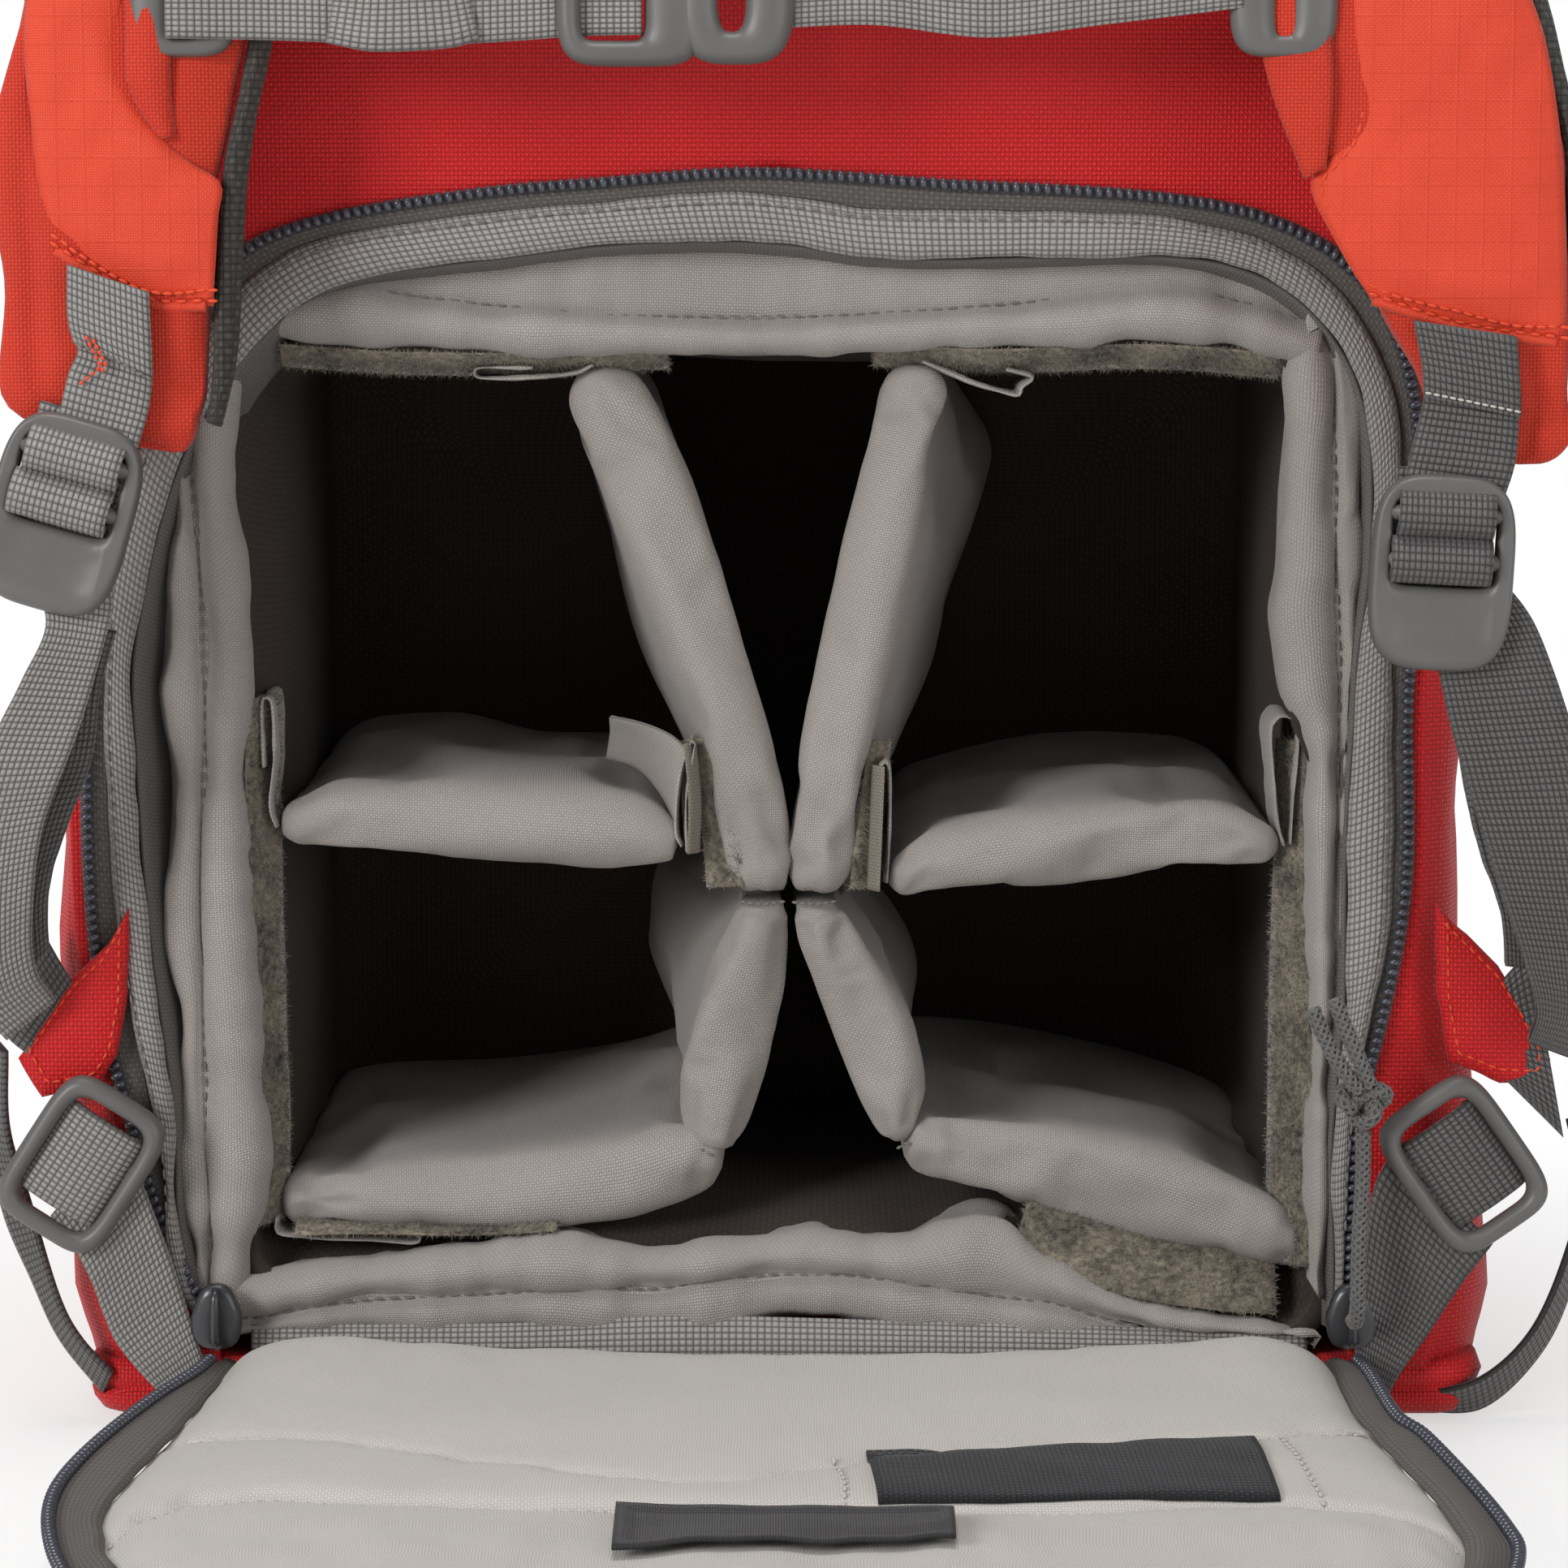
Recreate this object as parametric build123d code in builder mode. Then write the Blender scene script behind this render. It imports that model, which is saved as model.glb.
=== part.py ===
"""Camera backpack with its padded camera compartment open on the harness side.

Millimetres, +Z up, origin at the centre of the flat base. The harness side, with
the shoulder straps and the U-shaped door, faces -Y, and +X is the wearer's left.
The door is modelled folded down flat, as the bag stands when it is being packed.
"""
from build123d import *
from math import cos, radians, sin
import os

# ---------------------------------------------------------------- driving sizes
bag_width = 296  # across the side panels
bag_depth = 160  # harness face to front panel
body_height = 432  # base to the top zip
lid_height = 28
wall = 3  # every fabric and foam wall of the shell
harness_corner = 10  # plan radius of the two corners at the harness
front_corner = 36  # plan radius of the two corners at the front

base_thickness = 6
base_foam_thickness = 12
floor_gap = 2  # between the insert and the floor over it
floor_thickness = 4

hinge_height = 17  # hinge line of the camera door
zip_half_width = 135  # centre of the door's coil, upper part
zip_low_half_width = 117  # the same, beside the hinge
zip_narrow_end = 30  # height above the hinge where the coil begins to spread
zip_wide_start = 101  # height above the hinge where it is at its full width
zip_top = 261
zip_corner = 70
zip_bend = 80
coil_width = 4
coil_thickness = 2
binding_width = 6

door_thickness = 11
door_padding = 5
door_corner = 12  # cut back beside the hinge, where the sliders park
door_gap = 0.4
pocket_thickness = 1.5
pocket_height = 52
pocket_start = 52  # from the hinge line

insert_half_width = 125
insert_height = 228
insert_setback = 4  # behind the harness face
insert_slack = 8  # between the insert and the front of the bag
insert_corner = 45
bay_half_width = 107
bay_floor = 42.5
bay_ceiling = 222.5
bay_corner = 10
pad_thickness = 10  # back pad of the insert
divider_thickness = 12
divider_setback = 4
shelf_thickness = 13
tab_thickness = 1.6
tab_height = 28
tab_width = 20
loop_thickness = 1

webbing_width = 20
webbing_thickness = 1.6
strap_thickness = 10
strap_standoff = 22  # harness face to the back of a shoulder strap
yoke_thickness = 3
clearance = 0.3

lock_width = 28
lock_thickness = 5
lock_rim = 5  # height of the upper rim
lock_pin = 3.6  # diameter of both webbing bars
lock_pitch = 8  # between the two bars
lock_length = 39
ring_length = 32
ring_width = 25
ring_bar = 4

sternum_height = 297
buckle_width = 30
buckle_thickness = 9
socket_length = 22
plug_length = 21

slider_length = 14
slider_width = 11
slider_thickness = 5.5
cord_diameter = 3

front_pocket_width = 216
front_pocket_height = 280
front_pocket_depth = 22
front_pocket_base = 40

# ------------------------------------------------------------ worked-out places
harness_y = -bag_depth / 2
front_y = bag_depth / 2
half_width = bag_width / 2
foam_top = base_thickness + base_foam_thickness
floor_height = foam_top + insert_height + floor_gap
floor_top = floor_height + floor_thickness
hinge_y = harness_y - clearance
door_length = zip_top - hinge_height
binding_outer = coil_width / 2 + 1  # inset of the binding from the coil's centre
insert_front = harness_y + insert_setback
insert_back = front_y - insert_slack
insert_top = foam_top + insert_height
pad_front = insert_back - pad_thickness
strap_back = harness_y - strap_standoff
strap_front = strap_back - strap_thickness
lock_back = strap_front - webbing_thickness - clearance
lock_front = lock_back - lock_thickness
lock_middle = (lock_back + lock_front) / 2

os.makedirs("parts", exist_ok=True)


def finish(builder, name):
    """Label a finished piece and write it as its own STEP file."""
    builder.part.label = name
    export_step(builder.part, f"parts/{name}.step")


def harness_plane(y, height=0):
    """An upright plane seen from the harness side: local x is +X, local y is +Z."""
    return Plane(origin=(0, y, height), x_dir=(1, 0, 0), z_dir=(0, -1, 0))


def leaning_plane(x, y, z, lean):
    """As harness_plane, turned in its own face so that its top leans towards +X."""
    turn = radians(lean)
    across = (cos(turn), 0, -sin(turn))
    return Plane(origin=(x, y, z), x_dir=across, z_dir=(0, -1, 0))


def door_plane(height):
    """The lying door's own plane: local y runs from the hinge towards -Y."""
    return Plane(origin=(0, hinge_y, height), x_dir=(-1, 0, 0), z_dir=(0, 0, 1))


def body_plan(inset):
    """The bag's plan, a rectangle with small harness corners and large front ones."""
    with BuildSketch() as plan:
        Rectangle(bag_width - 2 * inset, bag_depth - 2 * inset)
        fillet(plan.vertices().group_by(Axis.Y)[0], harness_corner - inset)
        fillet(plan.vertices().group_by(Axis.Y)[-1], front_corner - inset)
    return plan.sketch


def opening_outline(plane, inset, hinge_corner=0):
    """The U of the camera opening, drawn in from the coil's centre line."""
    low = zip_low_half_width - inset
    wide = zip_half_width - inset
    spread = (zip_half_width - zip_low_half_width) / (zip_wide_start - zip_narrow_end)
    rise = inset * spread / 2
    start = zip_narrow_end + rise
    end = zip_wide_start + rise
    top = door_length - inset
    right = [(low, 0), (low, start), (wide, end), (wide, top)]
    left = [(-x, h) for x, h in reversed(right)]
    side = [hinge_corner, zip_bend + inset, zip_bend - inset, zip_corner - inset]
    with BuildSketch(plane) as outline:
        with BuildLine():
            FilletPolyline(*right, *left, radius=side + side[::-1], close=True)
        make_face()
    return outline.sketch


def opening_ring(plane, outer_inset, inner_inset, depth, start):
    """A band that follows the U, open at the hinge, from a height above it."""
    with BuildPart() as band:
        extrude(opening_outline(plane, outer_inset), amount=depth)
        extrude(opening_outline(plane, inner_inset), amount=depth, mode=Mode.SUBTRACT)
        with BuildSketch(plane):
            with Locations((0, start + bag_width)):
                Rectangle(2 * bag_width, 2 * bag_width)
        extrude(amount=depth, mode=Mode.INTERSECT)
    return band.part


# ------------------------------------------------------------------- the shell
with BuildPart() as base_panel:
    extrude(body_plan(0), amount=base_thickness)
    fillet(base_panel.faces().sort_by(Axis.Z)[0].edges(), wall)
finish(base_panel, "base_panel")

with BuildPart() as base_foam:
    extrude(Plane.XY.offset(base_thickness) * body_plan(wall), amount=base_foam_thickness)
finish(base_foam, "base_foam")

panel_inner_x = zip_half_width - binding_outer
front_split = half_width - front_corner
for side_name, side in (("left", -1), ("right", 1)):
    with BuildPart() as side_panel:
        with BuildSketch(Plane.XY.offset(base_thickness)):
            add(body_plan(0))
            add(body_plan(wall), mode=Mode.SUBTRACT)
            Polygon(
                (side * panel_inner_x, -bag_depth),
                (side * bag_width, -bag_depth),
                (side * bag_width, bag_depth),
                (side * front_split, bag_depth),
                (side * front_split, 0),
                (side * panel_inner_x, 0),
                align=None,
                mode=Mode.INTERSECT,
            )
        extrude(amount=body_height - base_thickness)
    finish(side_panel, f"{side_name}_side_panel")

with BuildPart() as front_panel:
    with BuildSketch(Plane.XY.offset(base_thickness)):
        with Locations((0, front_y - wall / 2)):
            Rectangle(2 * front_split, wall)
    extrude(amount=body_height - base_thickness)
finish(front_panel, "front_panel")

arch_start = zip_top - zip_corner + 8  # where the arch has become thick enough
with BuildPart() as back_upper_panel:
    with BuildSketch(harness_plane(harness_y + wall)):
        with Locations((0, (arch_start + body_height) / 2)):
            Rectangle(2 * panel_inner_x, body_height - arch_start)
    extrude(amount=wall)
    hole_plane = harness_plane(harness_y + wall, hinge_height)
    extrude(opening_outline(hole_plane, binding_outer), amount=wall, mode=Mode.SUBTRACT)
finish(back_upper_panel, "back_upper_panel")

sill_top = hinge_height - clearance
with BuildPart() as sill_panel:
    with BuildSketch(harness_plane(harness_y + wall)):
        with Locations((0, (base_thickness + sill_top) / 2)):
            Rectangle(2 * panel_inner_x, sill_top - base_thickness)
    extrude(amount=wall)
finish(sill_panel, "sill_panel")

with BuildPart() as compartment_floor:
    extrude(Plane.XY.offset(floor_height) * body_plan(wall), amount=floor_thickness)
finish(compartment_floor, "compartment_floor")

sheet_thickness = 4
sheet_margin = 16
with BuildPart() as frame_sheet:
    with BuildSketch(harness_plane(harness_y + wall + sheet_thickness)):
        with Locations((0, (floor_top + body_height) / 2)):
            sheet_height = body_height - floor_top - 2
            RectangleRounded(2 * (half_width - sheet_margin), sheet_height, sheet_margin)
    extrude(amount=sheet_thickness)
finish(frame_sheet, "frame_sheet")

# ----------------------------------------------------- binding and zip of the U
binding_inner = binding_outer + binding_width
binding_plane = harness_plane(harness_y + wall, hinge_height)
with BuildPart() as opening_binding:
    add(opening_ring(binding_plane, binding_outer, binding_inner, wall, 0))
    with BuildSketch(harness_plane(harness_y + wall)):
        with Locations((0, hinge_height + binding_width / 2)):
            Rectangle(2 * (zip_low_half_width - binding_inner), binding_width)
    extrude(amount=wall)
finish(opening_binding, "opening_binding")

coil_start = slider_length + clearance
coil_half = coil_width / 2
with BuildPart() as opening_zip:
    coil_plane = harness_plane(harness_y, hinge_height)
    add(opening_ring(coil_plane, -coil_half, coil_half, coil_thickness, coil_start))
finish(opening_zip, "opening_zip")

# ------------------------------------------------------------- the camera insert
insert_middle = (foam_top + insert_top) / 2


def insert_outline():
    """Front outline of the padded insert, with its upper corners well rounded."""
    with BuildSketch(harness_plane(pad_front)) as outline:
        with Locations((0, insert_middle)):
            Rectangle(2 * insert_half_width, insert_height)
        fillet(outline.vertices().group_by(Axis.Y)[0], bay_corner)
        fillet(outline.vertices().group_by(Axis.Y)[-1], insert_corner)
    return outline.sketch


with BuildPart() as insert_back_pad:
    extrude(insert_outline(), amount=-pad_thickness)
finish(insert_back_pad, "insert_back_pad")

pad_length = pad_front - insert_front
for side_name, side in (("left", -1), ("right", 1)):
    with BuildPart() as side_pad:
        extrude(insert_outline(), amount=pad_length)
        with BuildSketch(harness_plane(pad_front)):
            with Locations((side * (bay_half_width + bag_width / 2), insert_middle)):
                Rectangle(bag_width, bag_width)
        extrude(amount=pad_length, mode=Mode.INTERSECT)
    finish(side_pad, f"insert_{side_name}_pad")

pad_spans = (("bottom", foam_top, bay_floor), ("top", bay_ceiling, insert_top))
for pad_name, low, high in pad_spans:
    with BuildPart() as level_pad:
        with BuildSketch(harness_plane(pad_front)):
            with Locations((0, (low + high) / 2)):
                Rectangle(2 * bay_half_width, high - low)
        extrude(amount=pad_length)
    finish(level_pad, f"insert_{pad_name}_pad")

# ------------------------------------------------------------ the long dividers
divider_front = insert_front + divider_setback
divider_length = pad_front - divider_front
joint_height = 111  # where the upper and lower leaves are hinged together
foot_middle = bay_floor + loop_thickness + clearance + divider_thickness / 2
knee_height = foot_middle + divider_thickness / 2 + clearance
divider_edge = bay_ceiling - loop_thickness - clearance
upper_span = (joint_height + 0.5, divider_edge)
lower_span = (knee_height, joint_height - 0.5)

divider_routes = {
    "left_divider_upper": (upper_span, [(-35, 224), (-17, 166), (-4.4, 110)]),
    "left_divider_lower": (lower_span, [(-4.4, 112), (-6.5, 82), (-11.5, 54)]),
    "right_divider_upper": (upper_span, [(27, 224), (12.5, 164), (8, 110)]),
    "right_divider_lower": (lower_span, [(8.2, 112), (14.5, 86), (24.5, 54)]),
}
for divider_name, ((low, high), route) in divider_routes.items():
    with BuildPart() as divider:
        with BuildSketch(harness_plane(pad_front)):
            with BuildLine():
                ThreePointArc(*route)
            trace(line_width=divider_thickness)
            with Locations((0, (low + high) / 2)):
                Rectangle(bag_width, high - low, mode=Mode.INTERSECT)
        extrude(amount=divider_length)
    finish(divider, divider_name)

foot_end = bay_half_width - loop_thickness - clearance
for side_name, inner_x, outer_x in (("left", -4, -foot_end), ("right", 17, foot_end)):
    with BuildPart() as divider_foot:
        with BuildSketch(harness_plane(pad_front)):
            with Locations(((inner_x + outer_x) / 2, foot_middle)):
                Rectangle(abs(outer_x - inner_x), divider_thickness)
        extrude(amount=divider_length)
    finish(divider_foot, f"{side_name}_divider_foot")

# -------------------------------------------------- shelf dividers, which slide
shelf_gap = loop_thickness + clearance
shelf_outer = bay_half_width - shelf_gap
shelf_length = divider_length - 2
shelf_routes = {
    "left_shelf": ((-22, 124.5), (-shelf_outer + tab_thickness, 126.5)),
    "right_shelf": ((22, 115.5), (shelf_outer - tab_thickness, 124)),
}
for shelf_name, (inner_end, outer_end) in shelf_routes.items():
    side = 1 if inner_end[0] > 0 else -1
    inner_tab = inner_end[0] - side * tab_thickness / 2
    outer_tab = side * (shelf_outer - tab_thickness / 2)
    with BuildPart() as shelf:
        with BuildSketch(harness_plane(pad_front - 1)):
            with BuildLine():
                Line(inner_end, outer_end)
            trace(line_width=shelf_thickness)
        extrude(amount=shelf_length)
        with BuildSketch(harness_plane(divider_front + tab_width + 2)):
            with Locations((inner_tab, inner_end[1] + tab_height / 2 - 4)):
                Rectangle(tab_thickness, tab_height)
            with Locations((outer_tab, outer_end[1] + tab_height / 2 - 4)):
                Rectangle(tab_thickness, tab_height)
        extrude(amount=tab_width)
    finish(shelf, shelf_name)

# ----------------------------------------------- hook-and-loop strips and tabs
strip_plane = harness_plane(insert_front + 2 + webbing_width)
wall_strip_x = bay_half_width - loop_thickness / 2
ceiling_strip_z = bay_ceiling - loop_thickness / 2
floor_strip_z = bay_floor + loop_thickness / 2
strip_boxes = (
    (-wall_strip_x, 106, loop_thickness, 96),
    (wall_strip_x, 90, loop_thickness, 70),
    (-66, ceiling_strip_z, 76, loop_thickness),
    (66, ceiling_strip_z, 76, loop_thickness),
    (-75, floor_strip_z, 50, loop_thickness),
    (75, floor_strip_z, 44, loop_thickness),
)
tab_z = bay_ceiling - loop_thickness - tab_thickness / 2
tab_places = (-53, 44)  # the upper dividers' hook tabs, pressed onto the ceiling
with BuildPart() as loop_strips:
    with BuildSketch(strip_plane):
        for strip_x, strip_z, strip_width, strip_height in strip_boxes:
            with Locations((strip_x, strip_z)):
                Rectangle(strip_width, strip_height)
        for tab_x in tab_places:
            with Locations((tab_x, tab_z)):
                Rectangle(tab_width, tab_thickness)
    extrude(amount=webbing_width)
finish(loop_strips, "loop_strips")

# --------------------------------------------------------------- the folded door
door_top = hinge_height
door_inset = coil_half + door_gap
door_tape_inset = door_inset + coil_width
with BuildPart() as door_panel:
    panel_plane = door_plane(door_top)
    extrude(opening_outline(panel_plane, door_tape_inset, door_corner), amount=-door_thickness)
    fillet(door_panel.faces().sort_by(Axis.Z)[-1].edges(), 2)
finish(door_panel, "door_panel")

padding_top = door_top - door_thickness
with BuildPart() as door_back_pad:
    padding_plane = door_plane(padding_top)
    padding_inset = door_tape_inset + 2
    extrude(opening_outline(padding_plane, padding_inset, door_corner), amount=-door_padding)
    fillet(door_back_pad.faces().sort_by(Axis.Z)[0].edges(), 3)
finish(door_back_pad, "door_back_pad")

coil_drop = 3  # the door's coil lies below the top of its padding
door_coil_start = coil_start + 4  # swings past the parked sliders
with BuildPart() as door_zip:
    zip_plane = door_plane(door_top - coil_drop)
    outline = opening_outline(zip_plane, door_inset, door_corner)
    extrude(outline, amount=-coil_thickness)
    hole = opening_outline(zip_plane, door_tape_inset, door_corner)
    extrude(hole, amount=-coil_thickness, mode=Mode.SUBTRACT)
    with BuildSketch(zip_plane):
        Rectangle(2 * bag_width, 2 * door_coil_start)
    extrude(amount=-coil_thickness, mode=Mode.SUBTRACT)
finish(door_zip, "door_zip")

pocket_half_width = zip_low_half_width - door_tape_inset - 4
with BuildPart() as door_pocket:
    with BuildSketch(door_plane(door_top)):
        with Locations((0, pocket_start + pocket_height / 2)):
            RectangleRounded(2 * pocket_half_width, pocket_height, 4)
    extrude(amount=pocket_thickness)
finish(door_pocket, "door_pocket")


# --------------------------------------------------------------- zip sliders
def slider_piece(name, plane, tab_side):
    """A coil zip slider with its bridge and a short flat pull beside it."""
    with BuildPart() as slider:
        with BuildSketch(plane):
            RectangleRounded(slider_width, slider_length, slider_width / 4)
        extrude(amount=slider_thickness - 2)
        with BuildSketch(plane.offset(slider_thickness - 2)):
            RectangleRounded(slider_width / 3, slider_length - 3, 1)
        extrude(amount=2)
        if tab_side:
            with BuildSketch(plane.offset(0.5)):
                with Locations((0, tab_side * slider_length)):
                    RectangleRounded(slider_width / 2, slider_length + 4, 2)
            extrude(amount=2)
    finish(slider, name)


slider_x = zip_low_half_width + 1.5
slider_back = harness_y - coil_thickness - clearance
slider_front = slider_back - slider_thickness
slider_z = hinge_height + slider_length / 2
for side_name, side in (("left", -1), ("right", 1)):
    slider_plane = leaning_plane(side * slider_x, slider_back, slider_z, 0)
    slider_piece(f"{side_name}_zip_slider", slider_plane, 0)

# The cord of the right slider: out of the bridge, forward, then up beside the coil.
cord_route = [
    (slider_x, slider_front, slider_z),
    (slider_x, slider_front - 8.5, slider_z),
    (slider_x - 0.4, slider_front - 10.6, slider_z + 19),
    (slider_x + 0.6, slider_front - 9.6, slider_z + 33),
    (slider_x + 0.2, slider_front - 10.2, slider_z + 42),
]
cord_radii = [3.6, 25, 40]
with BuildPart() as right_pull_cord:
    with BuildLine() as cord_path:
        FilletPolyline(*cord_route, radius=cord_radii)
    with BuildSketch(Plane(cord_path.line @ 0, z_dir=cord_path.line % 0)):
        Circle(cord_diameter / 2)
    sweep()
finish(right_pull_cord, "right_pull_cord")
cord_length = sum(edge.length for edge in cord_path.line.edges())
print("cord length", round(cord_length, 1), "radii", cord_radii)
print("cord volume", round(right_pull_cord.part.volume, 1))

knot_radius = 1.5 * cord_diameter
knot_plane = Plane(cord_path.line @ 1, z_dir=cord_path.line % 1)
with BuildPart() as right_pull_knot:
    with BuildSketch(knot_plane):
        Circle(knot_radius)
    extrude(amount=2 * knot_radius)
    fillet(right_pull_knot.edges().filter_by(GeomType.CIRCLE), 0.7 * knot_radius)
    with BuildSketch(knot_plane.offset(2 * knot_radius - 1)):
        with GridLocations(cord_diameter + 2 * clearance, 0, 2, 1):
            Circle(cord_diameter / 2)
    extrude(amount=14)
finish(right_pull_knot, "right_pull_knot")

# -------------------------------------------------------- yoke and grab handle
yoke_height = 38
yoke_width = 200
yoke_front = harness_y - yoke_thickness
yoke_top = body_height - 1
with BuildPart() as harness_yoke:
    with BuildSketch(harness_plane(harness_y)):
        with Locations((0, yoke_top - yoke_height / 2)):
            RectangleRounded(yoke_width, yoke_height, yoke_height / 5)
    extrude(amount=yoke_thickness)
finish(harness_yoke, "harness_yoke")

handle_half_width = 32
handle_reach = 24
handle_height = 22
handle_thickness = 5
with BuildPart() as grab_handle:
    with BuildSketch(Plane.XY.offset(yoke_top - handle_height - 6)):
        with BuildLine():
            end_y = yoke_front
            far_y = yoke_front - handle_reach
            FilletPolyline(
                (-handle_half_width - 4, end_y),
                (-handle_half_width, far_y),
                (handle_half_width, far_y),
                (handle_half_width + 4, end_y),
                radius=12,
            )
        trace(line_width=handle_thickness)
        with Locations((0, end_y - handle_reach)):
            Rectangle(bag_width, 2 * handle_reach, mode=Mode.INTERSECT)
    extrude(amount=handle_height)
finish(grab_handle, "grab_handle")

# ------------------------------------------------------------- shoulder straps
strap_middle = (strap_back + strap_front) / 2
strap_root_y = yoke_front - clearance - strap_thickness / 2
strap_drop = 5  # room for the strap's upper corner as it swings outwards
strap_top = yoke_top - strap_drop
strap_leaves = strap_top - 28  # where a strap begins to stand off the harness
strap_stands = strap_top - 68
strap_foot = 190  # below both straps' rounded ends
strap_run = [
    (strap_root_y, strap_top),
    (strap_root_y, strap_leaves),
    (strap_middle, strap_stands),
    (strap_middle, strap_foot),
]
left_planform = {
    "inner": [(-40, strap_top), (-70, 362), (-98, 305), (-108, 262), (-111, 222)],
    "outer": [(-159, 222), (-160, 262), (-150, 305), (-122, 362), (-86, strap_top)],
    "end": [(-111, 222), (-112, 206), (-121, 206), (-126, 216), (-150, 216), (-159, 222)],
}
right_planform = {
    "inner": [(40, strap_top), (64, 362), (87, 305), (100, 262), (121, 222)],
    "outer": [(157, 222), (154, 262), (142, 305), (116, 362), (86, strap_top)],
    "end": [(121, 222), (125, 207), (134, 205), (144, 205), (154, 209), (157, 222)],
}


def shoulder_strap(name, planform):
    """A flat padded strap: its side view cut to its outline seen from the front."""
    with BuildPart() as strap:
        with BuildSketch(Plane.YZ):
            with BuildLine():
                FilletPolyline(*strap_run, radius=30)
            trace(line_width=strap_thickness)
        extrude(amount=bag_width, both=True)
        with BuildSketch(harness_plane(0)):
            with BuildLine():
                Spline(*planform["inner"])
                FilletPolyline(*planform["end"], radius=5)
                Spline(*planform["outer"])
                Line(planform["outer"][-1], planform["inner"][0])
            make_face()
        extrude(amount=bag_width, both=True, mode=Mode.INTERSECT)
    finish(strap, name)


shoulder_strap("left_shoulder_strap", left_planform)
shoulder_strap("right_shoulder_strap", right_planform)

# ------------------------------------- ladder-locks and the webbing through them
bar_gap = lock_pin / 2 + clearance + webbing_thickness / 2
bar_one = -lock_rim / 2 - 2 * clearance - webbing_thickness - lock_pin / 2 - clearance
bar_two = bar_one - lock_pitch
tab_top = bar_two - 8
lock_places = {"left": (-138, 210, 16), "right": (131, 199, 3)}


def lock_profile_plane(x, z, lean):
    """The plane across a lock: local x is depth towards -Y, local y is up the lock."""
    turn = radians(lean)
    return Plane(origin=(x, 0, z), x_dir=(0, -1, 0), z_dir=(-cos(turn), 0, sin(turn)))


def ladder_lock(name, x, z, lean):
    """Rim, two round bars and a thumb tab, with one window for the webbing."""
    with BuildPart() as lock:
        with BuildSketch(leaning_plane(x, lock_back, z, lean)):
            with Locations((0, lock_rim / 2 - lock_length / 2)):
                RectangleRounded(lock_width, lock_length, 6)
            window_height = -lock_rim / 2 - tab_top
            with Locations((0, (-lock_rim / 2 + tab_top) / 2)):
                window_width = webbing_width + 2 * clearance
                Rectangle(window_width, window_height, mode=Mode.SUBTRACT)
        extrude(amount=lock_thickness)
        for bar in (bar_one, bar_two):
            with BuildSketch(lock_profile_plane(x, z, lean)):
                with Locations((-lock_middle, bar)):
                    Circle(lock_pin / 2)
            extrude(amount=webbing_width / 2 + 1, both=True)
    finish(lock, name)


def hanger_webbing(name, x, z, lean):
    """Webbing sewn to the strap's face, behind the rim and round the upper bar."""
    back = -strap_front + webbing_thickness / 2
    near = -lock_middle - bar_gap
    far = -lock_middle + bar_gap
    route = [
        (back, 28),
        (back, bar_one + bar_gap),
        (far, bar_one + bar_gap),
        (far, bar_one - bar_gap),
        (near, bar_one - bar_gap),
        (near, bar_one + 0.2),
    ]
    with BuildPart() as hanger:
        with BuildSketch(lock_profile_plane(x, z, lean)):
            with BuildLine():
                FilletPolyline(*route, radius=[0.9, 1.6, 1.6, 0.9])
            trace(line_width=webbing_thickness)
        extrude(amount=webbing_width / 2, both=True)
    finish(hanger, name)


gusset_apex = (157, harness_y - 4, 80)  # mirrored for the left side


def adjuster_webbing(name, x, z, lean):
    """Webbing over the lower bar, then down behind the thumb tab to the gusset."""
    side = 1 if x > 0 else -1
    tail_end = -lock_length - 4
    far = -lock_middle + bar_gap
    back = -lock_back - clearance - webbing_thickness / 2
    deep = back - 2 * webbing_thickness
    over = bar_two + bar_gap
    under = bar_two - bar_gap
    route = [
        (deep, tail_end),
        (deep, over),
        (far, over),
        (far, under),
        (back, tab_top + 2),
        (back, tail_end),
    ]
    with BuildPart() as webbing:
        with BuildSketch(lock_profile_plane(x, z, lean)):
            with BuildLine():
                FilletPolyline(*route, radius=[1.2, 1.6, 1.6, 2])
            trace(line_width=webbing_thickness)
        extrude(amount=webbing_width / 2, both=True)
        turn = radians(lean)
        top = Vector(x + tail_end * sin(turn), -deep, z + tail_end * cos(turn))
        bottom = Vector(side * gusset_apex[0], gusset_apex[1] - 2, gusset_apex[2] + 6)
        run = bottom - top
        across = Vector(cos(turn), 0, -sin(turn))
        face = across.cross(run).normalized()
        with BuildSketch(Plane(origin=(top + bottom) / 2, x_dir=run, z_dir=face)):
            Rectangle(run.length - 1, webbing_width)
        extrude(amount=webbing_thickness / 2, both=True)
    finish(webbing, name)


for side_name, (x, z, lean) in lock_places.items():
    ladder_lock(f"{side_name}_ladder_lock", x, z, lean)
    hanger_webbing(f"{side_name}_hanger_webbing", x, z, lean)
    adjuster_webbing(f"{side_name}_adjuster_webbing", x, z, lean)

# ---------------------------------------------------------------- sternum strap
buckle_back = strap_front - 1
rail_thickness = 3
rail_places = {"left": -118, "right": 98}
for side_name, rail_x in rail_places.items():
    with BuildPart() as rail_slider:
        with BuildSketch(harness_plane(strap_front)):
            with Locations((rail_x, sternum_height)):
                RectangleRounded(20, webbing_width + 6, 3)
        extrude(amount=rail_thickness)
    finish(rail_slider, f"{side_name}_rail_slider")

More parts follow.
